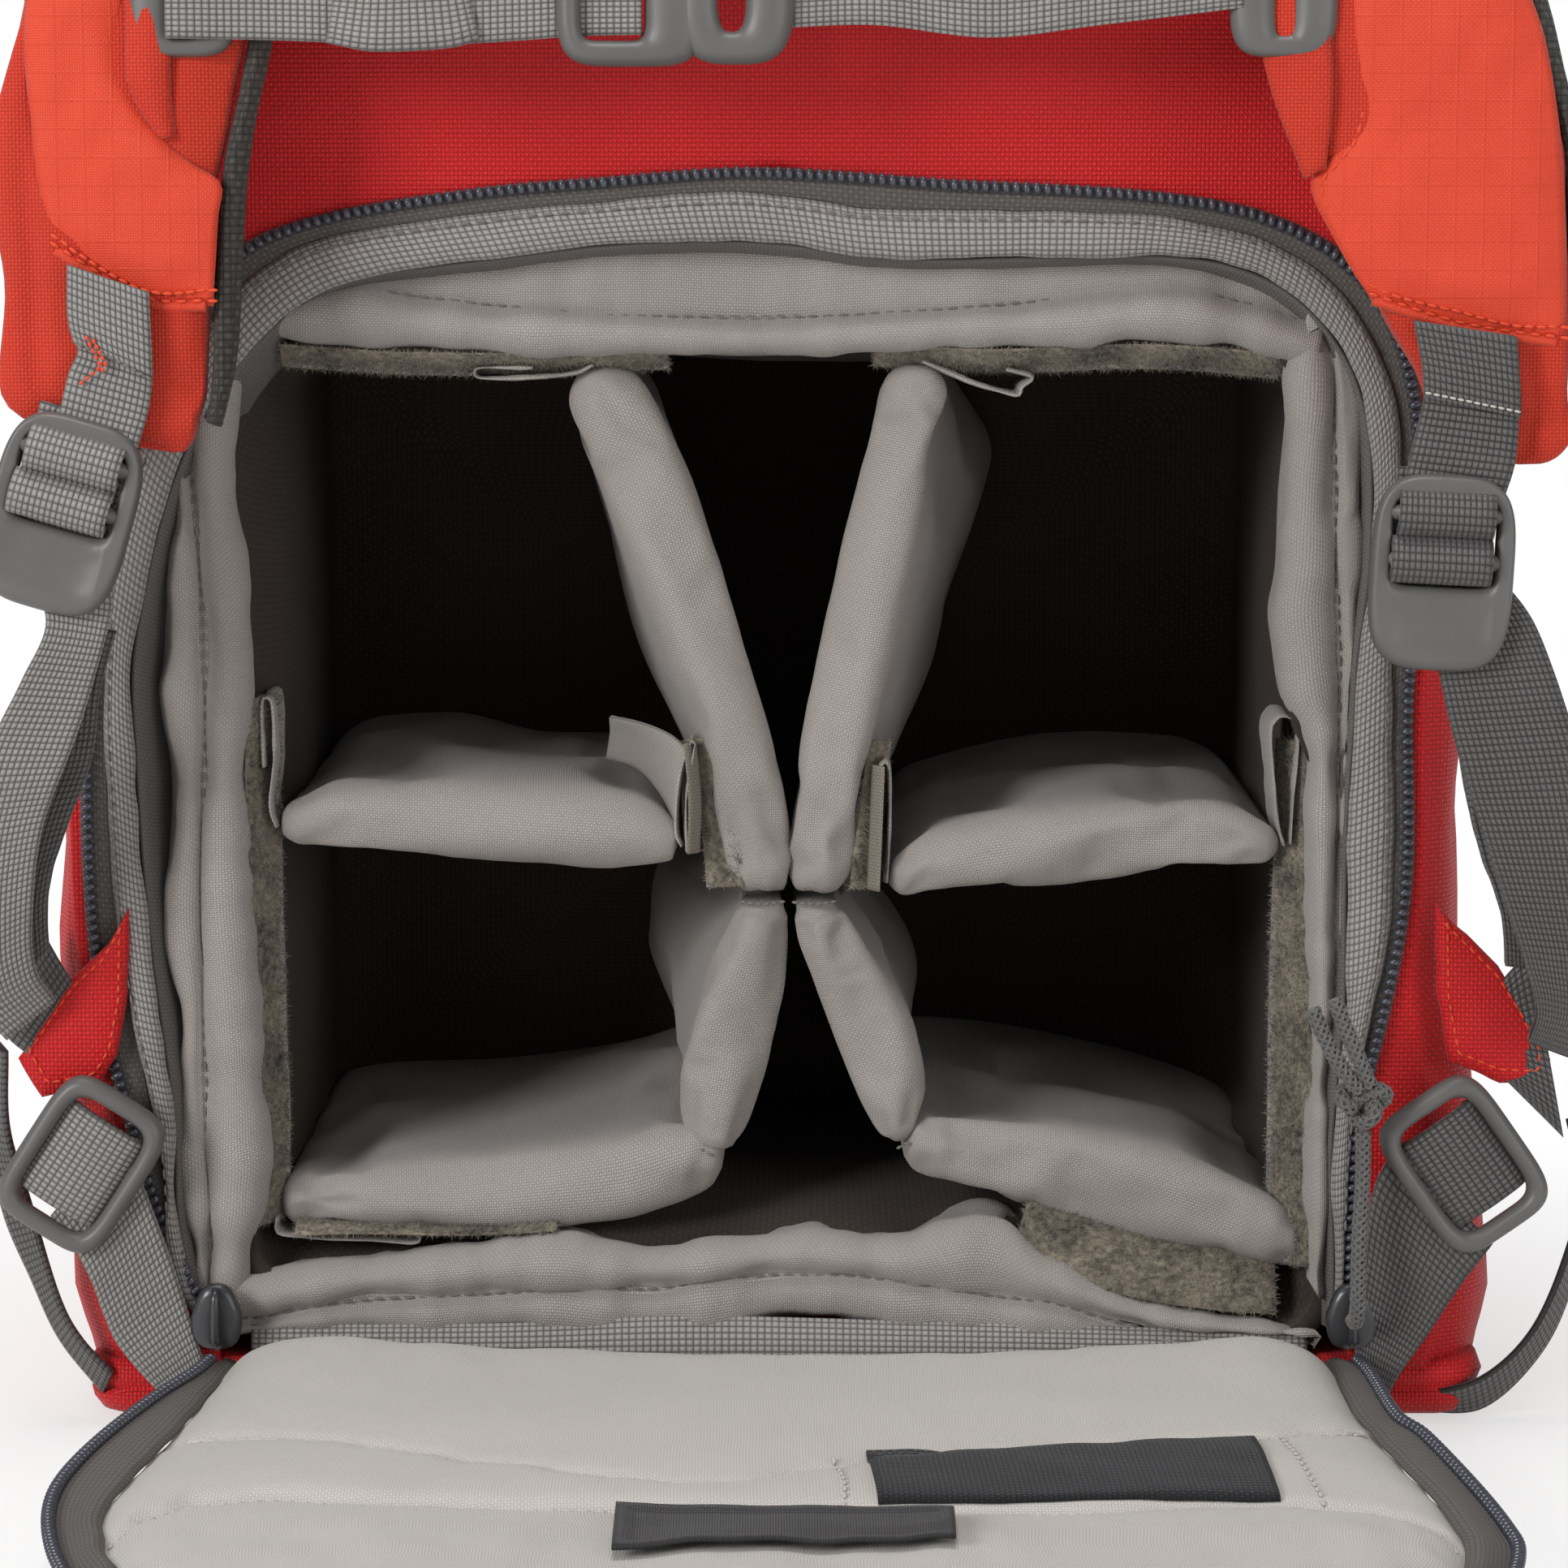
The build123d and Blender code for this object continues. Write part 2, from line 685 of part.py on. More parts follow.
socket_left = -23
sternum_back = strap_front - rail_thickness
socket_right = socket_left + socket_length
with BuildPart() as sternum_socket:
    with BuildSketch(harness_plane(buckle_back)):
        with Locations(((socket_left + socket_right) / 2, sternum_height)):
            RectangleRounded(socket_length, buckle_width, 4)
    extrude(amount=buckle_thickness)
    with BuildSketch(Plane.YZ.offset(socket_left)):
        with Locations((buckle_back - buckle_thickness / 2, sternum_height)):
            Rectangle(buckle_thickness - 4, buckle_width - 8)
    extrude(amount=socket_length - 5, mode=Mode.SUBTRACT)
finish(sternum_socket, "sternum_socket")

prong_length = 14
prong_height = buckle_width - 8 - 2 * clearance
plug_middle = socket_left - clearance - plug_length / 2
with BuildPart() as sternum_plug:
    with BuildSketch(harness_plane(buckle_back)):
        with Locations((plug_middle, sternum_height)):
            RectangleRounded(plug_length, buckle_width, 4)
        with Locations((plug_middle, sternum_height)):
            Rectangle(7, webbing_width + 1, mode=Mode.SUBTRACT)
    extrude(amount=buckle_thickness)
    with BuildSketch(harness_plane(buckle_back - 2 - clearance)):
        for prong in (-1, 0, 1):
            prong_z = sternum_height + prong * (prong_height - 4) / 2
            prong_x = socket_left - 1 + prong_length / 2
            with Locations((prong_x, prong_z)):
                Rectangle(prong_length + 2, 4)
    extrude(amount=buckle_thickness - 4 - 2 * clearance)
finish(sternum_plug, "sternum_plug")

plug_left = plug_middle - plug_length / 2
webbing_ends = (
    ("sternum_webbing_left", rail_places["left"] + 11, plug_left - clearance),
    ("sternum_webbing_right", socket_right, rail_places["right"] - 11),
)
for webbing_name, start_x, end_x in webbing_ends:
    with BuildPart() as sternum_webbing:
        with BuildSketch(harness_plane(sternum_back)):
            with Locations(((start_x + end_x) / 2, sternum_height)):
                Rectangle(end_x - start_x, webbing_width)
        extrude(amount=webbing_thickness)
    finish(sternum_webbing, webbing_name)

# --------------------------------------------- gussets, lower webbing and rings
gusset_root_x = half_width - harness_corner - 0.6
gusset_back = harness_y
gusset_rise = 34
gusset_drop = 14
belt_top = (136, 50)  # where the belt webbing meets its ring, on the right
belt_low = base_thickness + 4
belt_foot_x = zip_low_half_width + 12
belt_high = hinge_height + 34
belt_clear_x = slider_x + slider_width / 2 + 2 * clearance
ring_places = {"left": (-139, 59, -33), "right": (139, 59, 35)}
belt_back = harness_y - coil_thickness - clearance
ring_back = min(belt_back - webbing_thickness, slider_front) - clearance


def belt_ring(name, x, z, lean):
    """A rounded rectangular ring, its long sides leaning outwards at the foot."""
    with BuildPart() as ring:
        with BuildSketch(leaning_plane(x, ring_back, z, -lean)):
            RectangleRounded(ring_width, ring_length, 5)
            hole_width = ring_width - 2 * ring_bar
            RectangleRounded(hole_width, ring_length - 2 * ring_bar, 2, mode=Mode.SUBTRACT)
        extrude(amount=ring_bar)
        fillet(ring.faces().sort_by(Axis.Y)[0].edges(), 1)
    finish(ring, name)


for side_name, (x, z, lean) in ring_places.items():
    side = 1 if x > 0 else -1
    belt_ring(f"{side_name}_belt_ring", x, z, lean)
    with BuildPart() as gusset:
        with BuildSketch(harness_plane(gusset_back)):
            Polygon(
                (side * gusset_root_x, gusset_apex[2] + gusset_rise),
                (side * gusset_apex[0], gusset_apex[2]),
                (side * gusset_root_x, gusset_apex[2] - gusset_drop),
                align=None,
            )
        extrude(amount=wall)
    finish(gusset, f"{side_name}_gusset")
    with BuildPart() as belt_webbing:
        with BuildSketch(harness_plane(belt_back)):
            with BuildLine():
                Line((side * belt_foot_x, belt_low), (side * belt_top[0], belt_top[1]))
            trace(line_width=webbing_width)
            belt_middle = (belt_low + belt_high) / 2
            with Locations((side * (belt_clear_x + webbing_width), belt_middle)):
                belt_rise = belt_high - belt_low + webbing_width / 2
                Rectangle(2 * webbing_width, belt_rise, mode=Mode.INTERSECT)
        extrude(amount=webbing_thickness)
    finish(belt_webbing, f"{side_name}_belt_webbing")

# ---------------------------------------------------------------- front pocket
pocket_middle = front_pocket_base + front_pocket_height / 2
pocket_front = front_y + front_pocket_depth
with BuildPart() as front_pocket:
    with BuildSketch(harness_plane(pocket_front)):
        with Locations((0, pocket_middle)):
            RectangleRounded(front_pocket_width, front_pocket_height, 30)
    extrude(amount=front_pocket_depth)
    fillet(front_pocket.faces().sort_by(Axis.Y)[-1].edges(), front_pocket_depth / 2)
finish(front_pocket, "front_pocket")

pocket_zip_z = front_pocket_base + front_pocket_height - 34
pocket_zip_half = front_pocket_width / 2 - 26
top_zip_low = body_height - 6
with BuildPart() as body_zips:
    with BuildSketch(Plane.XY.offset(top_zip_low)):
        add(body_plan(-coil_thickness))
        add(body_plan(0), mode=Mode.SUBTRACT)
        with Locations((0, bag_depth / 2)):
            Rectangle(2 * bag_width, 1.8 * bag_depth, mode=Mode.INTERSECT)
    extrude(amount=body_height - top_zip_low - clearance)
    with BuildSketch(harness_plane(pocket_front + coil_thickness / 2)):
        with Locations((0, pocket_zip_z)):
            Rectangle(2 * pocket_zip_half, coil_width)
    extrude(amount=coil_thickness / 2)
finish(body_zips, "body_zips")


def front_plane(x, y, z):
    """An upright plane facing +Y, whose local y runs along +X, for level zips."""
    return Plane(origin=(x, y, z), x_dir=(0, 0, 1), z_dir=(0, 1, 0))


pocket_slider_y = pocket_front + coil_thickness / 2 + clearance
pocket_slider_x = pocket_zip_half - slider_length / 2
pocket_slider_plane = front_plane(pocket_slider_x, pocket_slider_y, pocket_zip_z)
slider_piece("pocket_slider", pocket_slider_plane, 1)
top_slider_y = front_y + coil_thickness + clearance
top_slider_z = body_height - slider_width / 2
top_slider_plane = front_plane(pocket_slider_x - slider_width / 2, top_slider_y, top_slider_z)
slider_piece("lid_slider", top_slider_plane, 1)

# -------------------------------------------------------------------- top lid
lid_base = body_height + clearance
with BuildPart() as top_lid:
    extrude(Plane.XY.offset(lid_base) * body_plan(0), amount=lid_height)
    fillet(top_lid.faces().sort_by(Axis.Z)[-1].edges(), harness_corner - 1)
    hollow = Plane.XY.offset(lid_base) * body_plan(wall)
    extrude(hollow, amount=lid_height - 2 * wall, mode=Mode.SUBTRACT)
finish(top_lid, "top_lid")
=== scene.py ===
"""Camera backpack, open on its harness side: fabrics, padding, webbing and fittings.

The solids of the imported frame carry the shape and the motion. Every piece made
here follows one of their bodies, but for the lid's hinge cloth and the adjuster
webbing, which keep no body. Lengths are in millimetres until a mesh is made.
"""

import bpy
import bmesh
from math import cos, exp, pi, radians, sin
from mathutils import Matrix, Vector, noise


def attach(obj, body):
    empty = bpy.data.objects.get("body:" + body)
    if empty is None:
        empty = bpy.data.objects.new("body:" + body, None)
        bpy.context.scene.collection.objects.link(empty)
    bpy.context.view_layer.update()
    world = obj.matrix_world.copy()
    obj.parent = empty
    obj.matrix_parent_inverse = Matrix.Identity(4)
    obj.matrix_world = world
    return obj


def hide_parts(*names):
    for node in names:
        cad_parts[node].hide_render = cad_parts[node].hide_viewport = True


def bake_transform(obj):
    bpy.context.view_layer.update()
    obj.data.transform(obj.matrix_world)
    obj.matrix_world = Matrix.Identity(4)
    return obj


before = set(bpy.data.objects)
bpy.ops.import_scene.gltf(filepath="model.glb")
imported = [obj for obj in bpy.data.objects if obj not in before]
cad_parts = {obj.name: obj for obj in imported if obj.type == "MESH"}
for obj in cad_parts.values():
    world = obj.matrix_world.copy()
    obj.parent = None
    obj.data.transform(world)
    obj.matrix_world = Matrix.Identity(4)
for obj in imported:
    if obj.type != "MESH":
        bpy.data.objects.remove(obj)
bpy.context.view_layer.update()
mm = 0.001

# ---------------------------------------------------------------- the shell
# One tub of 600 denier polyester, coated inside and cut in panels that are sewn
# at the corners. It sags between its seams and is pulled in along the zip.


def linear(code):
    """An sRGB hex colour as linear RGBA."""
    parts = [int(code[i : i + 2], 16) / 255 for i in (1, 3, 5)]
    return tuple(c / 12.92 if c <= 0.04045 else ((c + 0.055) / 1.055) ** 2.4 for c in parts) + (1,)


def feed(tree, node, inputs):
    """Sets a node's inputs or links them, where a node stands for its first output."""
    for key, value in inputs.items():
        if isinstance(value, bpy.types.Node):
            value = value.outputs[0]
        if isinstance(value, bpy.types.NodeSocket):
            tree.links.new(value, node.inputs[key])
        else:
            node.inputs[key].default_value = value


def add(tree, kind, inputs=None, **settings):
    """A new node with its settings, and its inputs set or linked."""
    node = tree.nodes.new(kind)
    for key, value in settings.items():
        setattr(node, key, value)
    feed(tree, node, inputs or {})
    return node


def new_material(name):
    """A material with only its output and shader, ready for links."""
    material = bpy.data.materials.new(name)
    material.use_nodes = True
    return material, material.node_tree, material.node_tree.nodes["Principled BSDF"]


def woven(name, high, low, across, along, bump=0.5, rough=0.75, sheen=0.2, mottle=0.1, grid=0.0, turn=0.4):
    """Cloth or webbing: threads every across by along millimetres of its UV map.

    Every thread shows one bright oval where it rises, with dark gaps round it: the colour
    follows each thread's height, a painted highlight on the rises and painted shade in the
    gaps, over a real uneven mottle; turn is how much darker the threads of one direction
    are, which is nothing on webbing.
    """
    material, tree, shader = new_material(name)
    place = add(tree, "ShaderNodeTexCoord")
    scale = add(tree, "ShaderNodeMapping", {0: place.outputs["UV"], 3: (1000 / across, 1000 / along, 1)})
    axes = add(tree, "ShaderNodeSeparateXYZ", {0: scale})
    warp = add(tree, "ShaderNodeMath", {0: axes, 1: pi}, operation="MULTIPLY")
    weft = add(tree, "ShaderNodeMath", {0: axes.outputs[1], 1: pi}, operation="MULTIPLY")
    over = add(tree, "ShaderNodeMath", {0: warp}, operation="SINE")
    under = add(tree, "ShaderNodeMath", {0: weft}, operation="SINE")
    cross = add(tree, "ShaderNodeMath", {0: over, 1: under}, operation="MULTIPLY")
    way = add(tree, "ShaderNodeMath", {0: cross, 1: turn / 2, 2: turn / 2}, operation="MULTIPLY_ADD")
    size = add(tree, "ShaderNodeMath", {0: cross}, operation="ABSOLUTE")
    oval = add(tree, "ShaderNodeMath", {0: size, 1: 0.5}, operation="POWER")
    height = add(tree, "ShaderNodeMath", {0: oval, 1: 1 - turn, 2: way}, operation="MULTIPLY_ADD")
    cloud = add(tree, "ShaderNodeTexNoise", {"Vector": place.outputs["Object"], "Scale": 28.0, "Detail": 3.0})
    slub = add(tree, "ShaderNodeTexNoise", {"Vector": scale, "Scale": 0.9, "Detail": 2.0})
    uneven = add(tree, "ShaderNodeMath", {0: cloud, 1: slub}, operation="ADD")
    drift = add(tree, "ShaderNodeMath", {0: uneven, 1: mottle * 2, 2: -mottle * 2}, operation="MULTIPLY_ADD")
    # The colour's tone: a painted highlight on each thread's rise and painted shade in its gaps, with a real
    # mottle.
    thread_shade_and_mottle = add(tree, "ShaderNodeMath", {0: height, 1: drift}, operation="ADD", use_clamp=True)
    colour = add(
        tree, "ShaderNodeMix", {0: thread_shade_and_mottle, 6: linear(low), 7: linear(high)}, data_type="RGBA"
    )
    relief = height
    if grid:
        wide = add(tree, "ShaderNodeMapping", {0: place.outputs["UV"], 3: (1000 / grid, 1000 / grid, 1)})
        cells = add(tree, "ShaderNodeTexBrick", {
            "Vector": wide, "Scale": 1.0, "Mortar Size": 0.045, "Mortar Smooth": 0.6,
            "Brick Width": 1.0, "Row Height": 1.0, "Color1": (0, 0, 0, 1), "Color2": (0, 0, 0, 1),
            "Mortar": (1, 1, 1, 1)}, offset=0.0)
        relief = add(tree, "ShaderNodeMath", {0: cells, 1: 0.9, 2: height},
                     operation="MULTIPLY_ADD")
    rise = add(tree, "ShaderNodeBump", {
        "Strength": bump, "Distance": 0.00035, "Height": relief})
    gloss = add(tree, "ShaderNodeMath", {0: height, 1: -0.18, 2: rough + 0.09}, operation="MULTIPLY_ADD")
    feed(tree, shader, {
        "Base Color": colour.outputs[2], "Roughness": gloss, "Normal": rise, "Sheen Weight": sheen,
        "Sheen Roughness": 0.4, "Specular IOR Level": 0.35})
    return material


def curve_through(points, count):
    """Evenly spaced points on a smooth line through the given ones."""
    given = [Vector(p) for p in points]
    ends = [given[0] * 2 - given[1], *given, given[-1] * 2 - given[-2]]
    fine = []
    for a, b, c, d in zip(ends, ends[1:], ends[2:], ends[3:]):
        for step in range(16):
            t = step / 16
            fine.append((b * 2 + (c - a) * t + (a * 2 - b * 5 + c * 4 - d) * t * t
                         + (b * 3 - a - c * 3 + d) * t ** 3) / 2)
    fine.append(given[-1])
    reach = [0.0]
    for a, b in zip(fine, fine[1:]):
        reach.append(reach[-1] + (b - a).length)
    found, place = [], 0
    for step in range(count):
        want = reach[-1] * step / (count - 1)
        while place < len(fine) - 2 and reach[place + 1] < want:
            place += 1
        span = max(reach[place + 1] - reach[place], 1e-9)
        found.append(fine[place].lerp(fine[place + 1], min(1, (want - reach[place]) / span)))
    return found


def between(table, value):
    """The smooth value that a table of (place, value) pairs gives at a place."""
    if value <= table[0][0]:
        return table[0][1]
    for (a, low), (b, high) in zip(table, table[1:]):
        if value <= b:
            t = (value - a) / (b - a)
            return low + (high - low) * (t * t * (3 - 2 * t))
    return table[-1][1]


def finish_mesh(name, points, faces, uvs, material, flip=False):
    """A mesh object at the origin from millimetres, with its UV map in metres."""
    mesh = bpy.data.meshes.new(name)
    mesh.from_pydata([Vector(p) * mm for p in points], [], faces)
    layer = mesh.uv_layers.new(name="UVMap")
    for slot, uv in zip(layer.data, uvs):
        slot.uv = (uv[0] * mm, uv[1] * mm)
    mesh.materials.append(material)
    mesh.shade_smooth()
    if flip:
        mesh.flip_normals()
    piece = bpy.data.objects.new(name, mesh)
    bpy.context.collection.objects.link(piece)
    return piece


def loft(name, rings, material, closed=True, caps=False, flip=False):
    """A skin over rings of points, closed round each ring or open like a sheet."""
    count = len(rings[0])
    along = [0.0]
    for ring, later in zip(rings, rings[1:]):
        along.append(along[-1] + sum((q - p).length for p, q in zip(ring, later)) / count)
    middle = rings[len(rings) // 2]
    around = [0.0]
    for i in range(count):
        around.append(around[-1] + (middle[(i + 1) % count] - middle[i]).length)
    faces, uvs = [], []
    for r in range(len(rings) - 1):
        for i in range(count if closed else count - 1):
            j = (i + 1) % count
            faces.append((r * count + i, r * count + j, (r + 1) * count + j, (r + 1) * count + i))
            uvs += [(around[i], along[r]), (around[i + 1], along[r])]
            uvs += [(around[i + 1], along[r + 1]), (around[i], along[r + 1])]
    if caps:
        last = (len(rings) - 1) * count
        for ids in (list(range(count))[::-1], [last + i for i in range(count)]):
            faces.append(tuple(ids))
            uvs += [(rings[k // count][k % count].x, rings[k // count][k % count].z) for k in ids]
    points = [p for ring in rings for p in ring]
    return finish_mesh(name, points, faces, uvs, material, flip)


def tidy_normals(piece):
    """Merges doubles and turns every face outwards."""
    shape = bmesh.new()
    shape.from_mesh(piece.data)
    bmesh.ops.remove_doubles(shape, verts=shape.verts, dist=0.00002)
    bmesh.ops.recalc_face_normals(shape, faces=shape.faces)
    shape.to_mesh(piece.data)
    shape.free()
    return piece


def crumple(piece, amount, size, seed=0.0, keep=None):
    """Moves each vertex along its normal by smooth noise, in millimetres."""
    for vertex in piece.data.vertices:
        at = vertex.co * (1000 / size) + Vector((seed, seed * 0.7, -seed))
        shift = noise.noise(at) + 0.5 * noise.noise(at * 2.3)
        weight = keep(vertex.co * 1000) if keep else 1.0
        vertex.co += vertex.normal * shift * amount * mm * weight
    piece.data.update()
    return piece


def applied(piece):
    """Bakes what the piece's modifiers make into its own mesh."""
    graph = bpy.context.evaluated_depsgraph_get()
    mesh = bpy.data.meshes.new_from_object(piece.evaluated_get(graph))
    piece.modifiers.clear()
    piece.data = mesh
    return piece


def modified(piece, kind, **settings):
    """Adds a modifier and bakes its result into the piece's mesh."""
    change = piece.modifiers.new(kind.title(), kind)
    for key, value in settings.items():
        setattr(change, key, value)
    bpy.context.view_layer.update()
    return applied(piece)


def box_map(piece):
    """Lays the UV map flat from the side that each face looks to, in metres."""
    mesh = piece.data
    layer = mesh.uv_layers.active or mesh.uv_layers.new(name="UVMap")
    for face in mesh.polygons:
        way = [abs(part) for part in face.normal]
        for corner in face.loop_indices:
            p = mesh.vertices[mesh.loops[corner].vertex_index].co
            if way[0] >= max(way):
                layer.data[corner].uv = (p.y, p.z)
            else:
                layer.data[corner].uv = (p.x, p.z) if way[1] >= max(way) else (p.x, p.y)
    return piece


def place_piece(piece, body, nodes=()):
    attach(piece, body)
    if nodes:
        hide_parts(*nodes)
    return piece


# 600 denier polyester shows one bright spot, a painted highlight, for each doubled thread, 0.85 by 0.95 mm
# apart.
# Its deep crimson is this cloth as it looks in shade, so it is partly painted shade.
shaded_red_cloth = woven("polyester_600_denier_red_painted_shade", "#E2161A", "#86040C", 0.85, 0.95, 0.9, 0.55, 0.1, 0.1)

# Centre line of the coil round the opening, as (x, z), from the left foot to the right.
coil_line = [
    (-118.5, 17), (-124, 30), (-130.5, 45), (-135.5, 62), (-139.5, 78), (-142.6, 98), (-144, 118),
    (-144, 140), (-142.5, 165), (-139, 190), (-132, 213), (-122, 232), (-110.5, 245), (-92, 252),
    (-61, 257), (-37, 259), (-10.6, 261), (10, 260.3), (33, 258.6), (55, 257.6), (75, 256.2), (92, 253.6),
    (104, 249.4), (114, 243.2), (123.5, 232), (129, 215), (130.5, 195), (129.5, 170), (128.5, 150),
    (129, 130), (128.8, 115), (127.4, 102), (124.8, 88), (121.8, 75), (119.2, 60), (118.5, 45),
    (118.5, 17)]
coil_points = curve_through([(x, 0, z) for x, z in coil_line], 400)


def coil_side(z, side):
    """The x of the coil at a height, on the left (-1) or the right (1)."""
    half = coil_points[:200] if side < 0 else coil_points[200:][::-1]
    near = min(half, key=lambda p: abs(p.z - z))
    return near.x if z < 260.4 else side * 10 * max(0.0, 261.2 - z)


left_edge = [
    (0, 142), (8, 147), (30, 150.5), (62, 152), (95, 152.4), (125, 150), (200, 149), (320, 149), (390, 147),
    (432, 142)]
right_edge = [
    (0, 142), (8, 147), (27, 149.5), (60, 147.5), (104, 142.8), (135, 142.4), (165, 143), (220, 146),
    (320, 149), (390, 147), (432, 142)]
front_edge = [(0, 73), (10, 78), (60, 80), (200, 82), (320, 80.5), (400, 77), (432, 73)]
harness_edge = [(262, 80), (285, 84), (320, 88), (370, 87), (415, 83), (432, 81)]


def shell_ring(z):
    """Half rings of the shell at a height, from the coil round to the middle of the front."""
    halves = []
    for side, edge in ((-1, left_edge), (1, right_edge)):
        wide = between(edge, z)
        front = between(front_edge, z)
        back = between(harness_edge, z)
        inner = coil_side(z, side)
        seam = max(abs(inner) + 3.5, wide - 13)
        line = [Vector((inner + (side * seam - inner) * k / 20, -80 - (back - 80) * min(1, (20 - k) / 8), z))
                for k in range(21)]
        line += [
            Vector(
                (side * (seam + (wide - seam) * sin(a)), -78.4 - (back - 80) * 0.1 + 20 * (1 - cos(a)), z))
            for a in (pi / 2 * k / 8 for k in range(1, 9))]
        line += [Vector((side * (wide + 1.6 * sin(pi * k / 20)), -58.4 + (front - 34 + 58.4) * k / 20, z))
                 for k in range(1, 20)]
        line += [Vector((side * (wide - 34 + 34 * cos(a)), front - 34 + 34 * sin(a), z))
                 for a in (pi / 2 * k / 12 for k in range(13))]
        line += [
            Vector((side * (wide - 34) * (1 - k / 14), front + 1.2 * sin(pi * k / 28), z))
            for k in range(1, 15)]
        halves.append(line)
    return halves[0] + halves[1][-2::-1]


heights = [12, 16, 20] + list(range(26, 244, 6)) + [246, 249, 252, 254, 256, 257, 258, 259, 260, 260.6, 261.2]
heights += [264, 270, 278] + list(range(288, 432, 9)) + [432]
shell = loft("body_shell", [shell_ring(z) for z in heights], shaded_red_cloth, closed=False)
shell = tidy_normals(shell)


def calm_at_edges(p):
    """No crumpling next to the zip, the base and the lid."""
    near = min(abs(p.z - q.z) + abs(p.x - q.x) for q in coil_points[::4]) if p.y < -70 and p.z < 275 else 60
    return min(1.0, near / 26) * min(1.0, (432 - p.z) / 20) * min(1.0, (p.z - 12) / 10)


crumple(shell, 1.7, 52, 3.1, calm_at_edges)
crumple(shell, 0.5, 17, 8.4, calm_at_edges)
modified(shell, "SOLIDIFY", thickness=0.0022, offset=-1)
box_map(shell)
place_piece(
    shell, "root",
    ("left_side_panel", "right_side_panel", "front_panel", "back_upper_panel"))

# ---------------------------------------------------------------- the base
# The foot of the tub: one piece of the same polyester over foam, with a rolled
# seam all round, and the sill that the door is sewn to.


def cornered(corners, step, placed):
    """A quarter turn at each corner, given as its centre, radius and first angle, cut in steps of degrees."""
    return [placed(cx + r * cos(radians(start + a)), cy + r * sin(radians(start + a)))
            for cx, cy, r, start in corners for a in range(0, 91, step)]


def plan_loop(inset, z, harness=10.0, front=36.0):
    """A closed ring of the bag's plan, drawn in by an inset, at a height."""
    wide, near, far = 147 - inset, -80 + inset, 78 - inset
    small, large = max(2.0, harness - inset), max(8.0, front - inset)
    corners = (
        (wide - small, near + small, small, -90), (wide - large, far - large, large, 0),
        (-wide + large, far - large, large, 90), (-wide + small, near + small, small, 180))
    return filled(cornered(corners, 6, lambda x, y: Vector((x, y, z))), 16, 22)


def filled(loop, corner, count):
    """The loop with its straight runs, after each corner's points, cut in equal steps."""
    full = []
    for k, (a, b) in enumerate(zip(loop, loop[1:] + loop[:1])):
        steps = count if k % corner == corner - 1 else 1
        full += [a.lerp(b, step / steps) for step in range(steps)]
    return full


tub_rows = [
    (34, 0.3), (12, 0.3), (6, 0.5), (2.4, 1.8), (0.6, 4.2), (0.2, 6.0), (1.7, 6.9), (0.3, 8.0), (-0.4, 10),
    (0.8, 13.2), (7, 13.8)]
base_tub = loft("base_tub", [plan_loop(i, z) for i, z in tub_rows], shaded_red_cloth, caps=True)
crumple(base_tub, 0.5, 24, 1.2, lambda p: min(1.0, max(0.0, p.z / 6)))
box_map(base_tub)
place_piece(base_tub, "root", ("base_panel", "sill_panel", "base_foam"))

# ------------------------------------------------------- the zip of the opening
# A large nylon coil sewn on woven tape, its beads 2.1 mm apart, and outside the
# rim a folded 20 mm webbing that binds the raw edge of the opening.


def flecked(name, scale, detail, dark, pale, roughness):
    """A material with a fine drift between two colours, by noise at a scale in each metre."""
    material, tree, shader = new_material(name)
    place = add(tree, "ShaderNodeTexCoord")
    fleck = add(
        tree, "ShaderNodeTexNoise", {"Vector": place.outputs["Object"], "Scale": scale, "Detail": detail})
    tint = add(tree, "ShaderNodeMix", {0: fleck, 6: linear(dark), 7: linear(pale)}, data_type="RGBA")
    feed(tree, shader, {"Base Color": tint.outputs[2], "Roughness": roughness})
    return material, tree, shader, fleck


# Moulded nylon is smooth, so each bead of the coil carries a small bright highlight.
coil_nylon, tree, shader = flecked("nylon_coil_dark", 900.0, 1.0, "#2E3039", "#4A4C57", 0.26)[:3]
feed(tree, shader, {"Specular IOR Level": 0.7})
zip_tape = woven("zip_tape_woven", "#67635F", "#3E3B39", 0.9, 1.1, 0.5, 0.8, 0.1, 0.1)
binding_webbing = woven(
    "binding_webbing_grey", "#A19E9B", "#55524F", 1.25, 1.5, 0.9, 0.6, 0.2, 0.12, turn=0.0)


def tree_of_nodes(name, sockets):
    """An empty Geometry Nodes tree, its group input, and how it ends: with Set Material and its output."""
    tree = bpy.data.node_groups.new(name, "GeometryNodeTree")
    for label, kind in sockets:
        tree.interface.new_socket(label, in_out="INPUT", socket_type="NodeSocket" + kind)
    tree.interface.new_socket("Made", in_out="OUTPUT", socket_type="NodeSocketGeometry")
    given = add(tree, "NodeGroupInput")

    def end(made):
        painted = add(tree, "GeometryNodeSetMaterial", {0: made, "Material": given.outputs["Finish"]})
        add(tree, "NodeGroupOutput", {0: painted})
        return tree

    return tree, given, end


def baked(piece, tree, values):
    """The piece as one plain mesh, as a Geometry Nodes tree makes it from these values."""
    change = piece.modifiers.new("Nodes", "NODES")
    change.node_group = tree
    keys = {item.name: item.identifier for item in tree.interface.items_tree if item.in_out == "INPUT"}
    for label, value in values.items():
        change[keys[label]] = value
    return applied(piece)


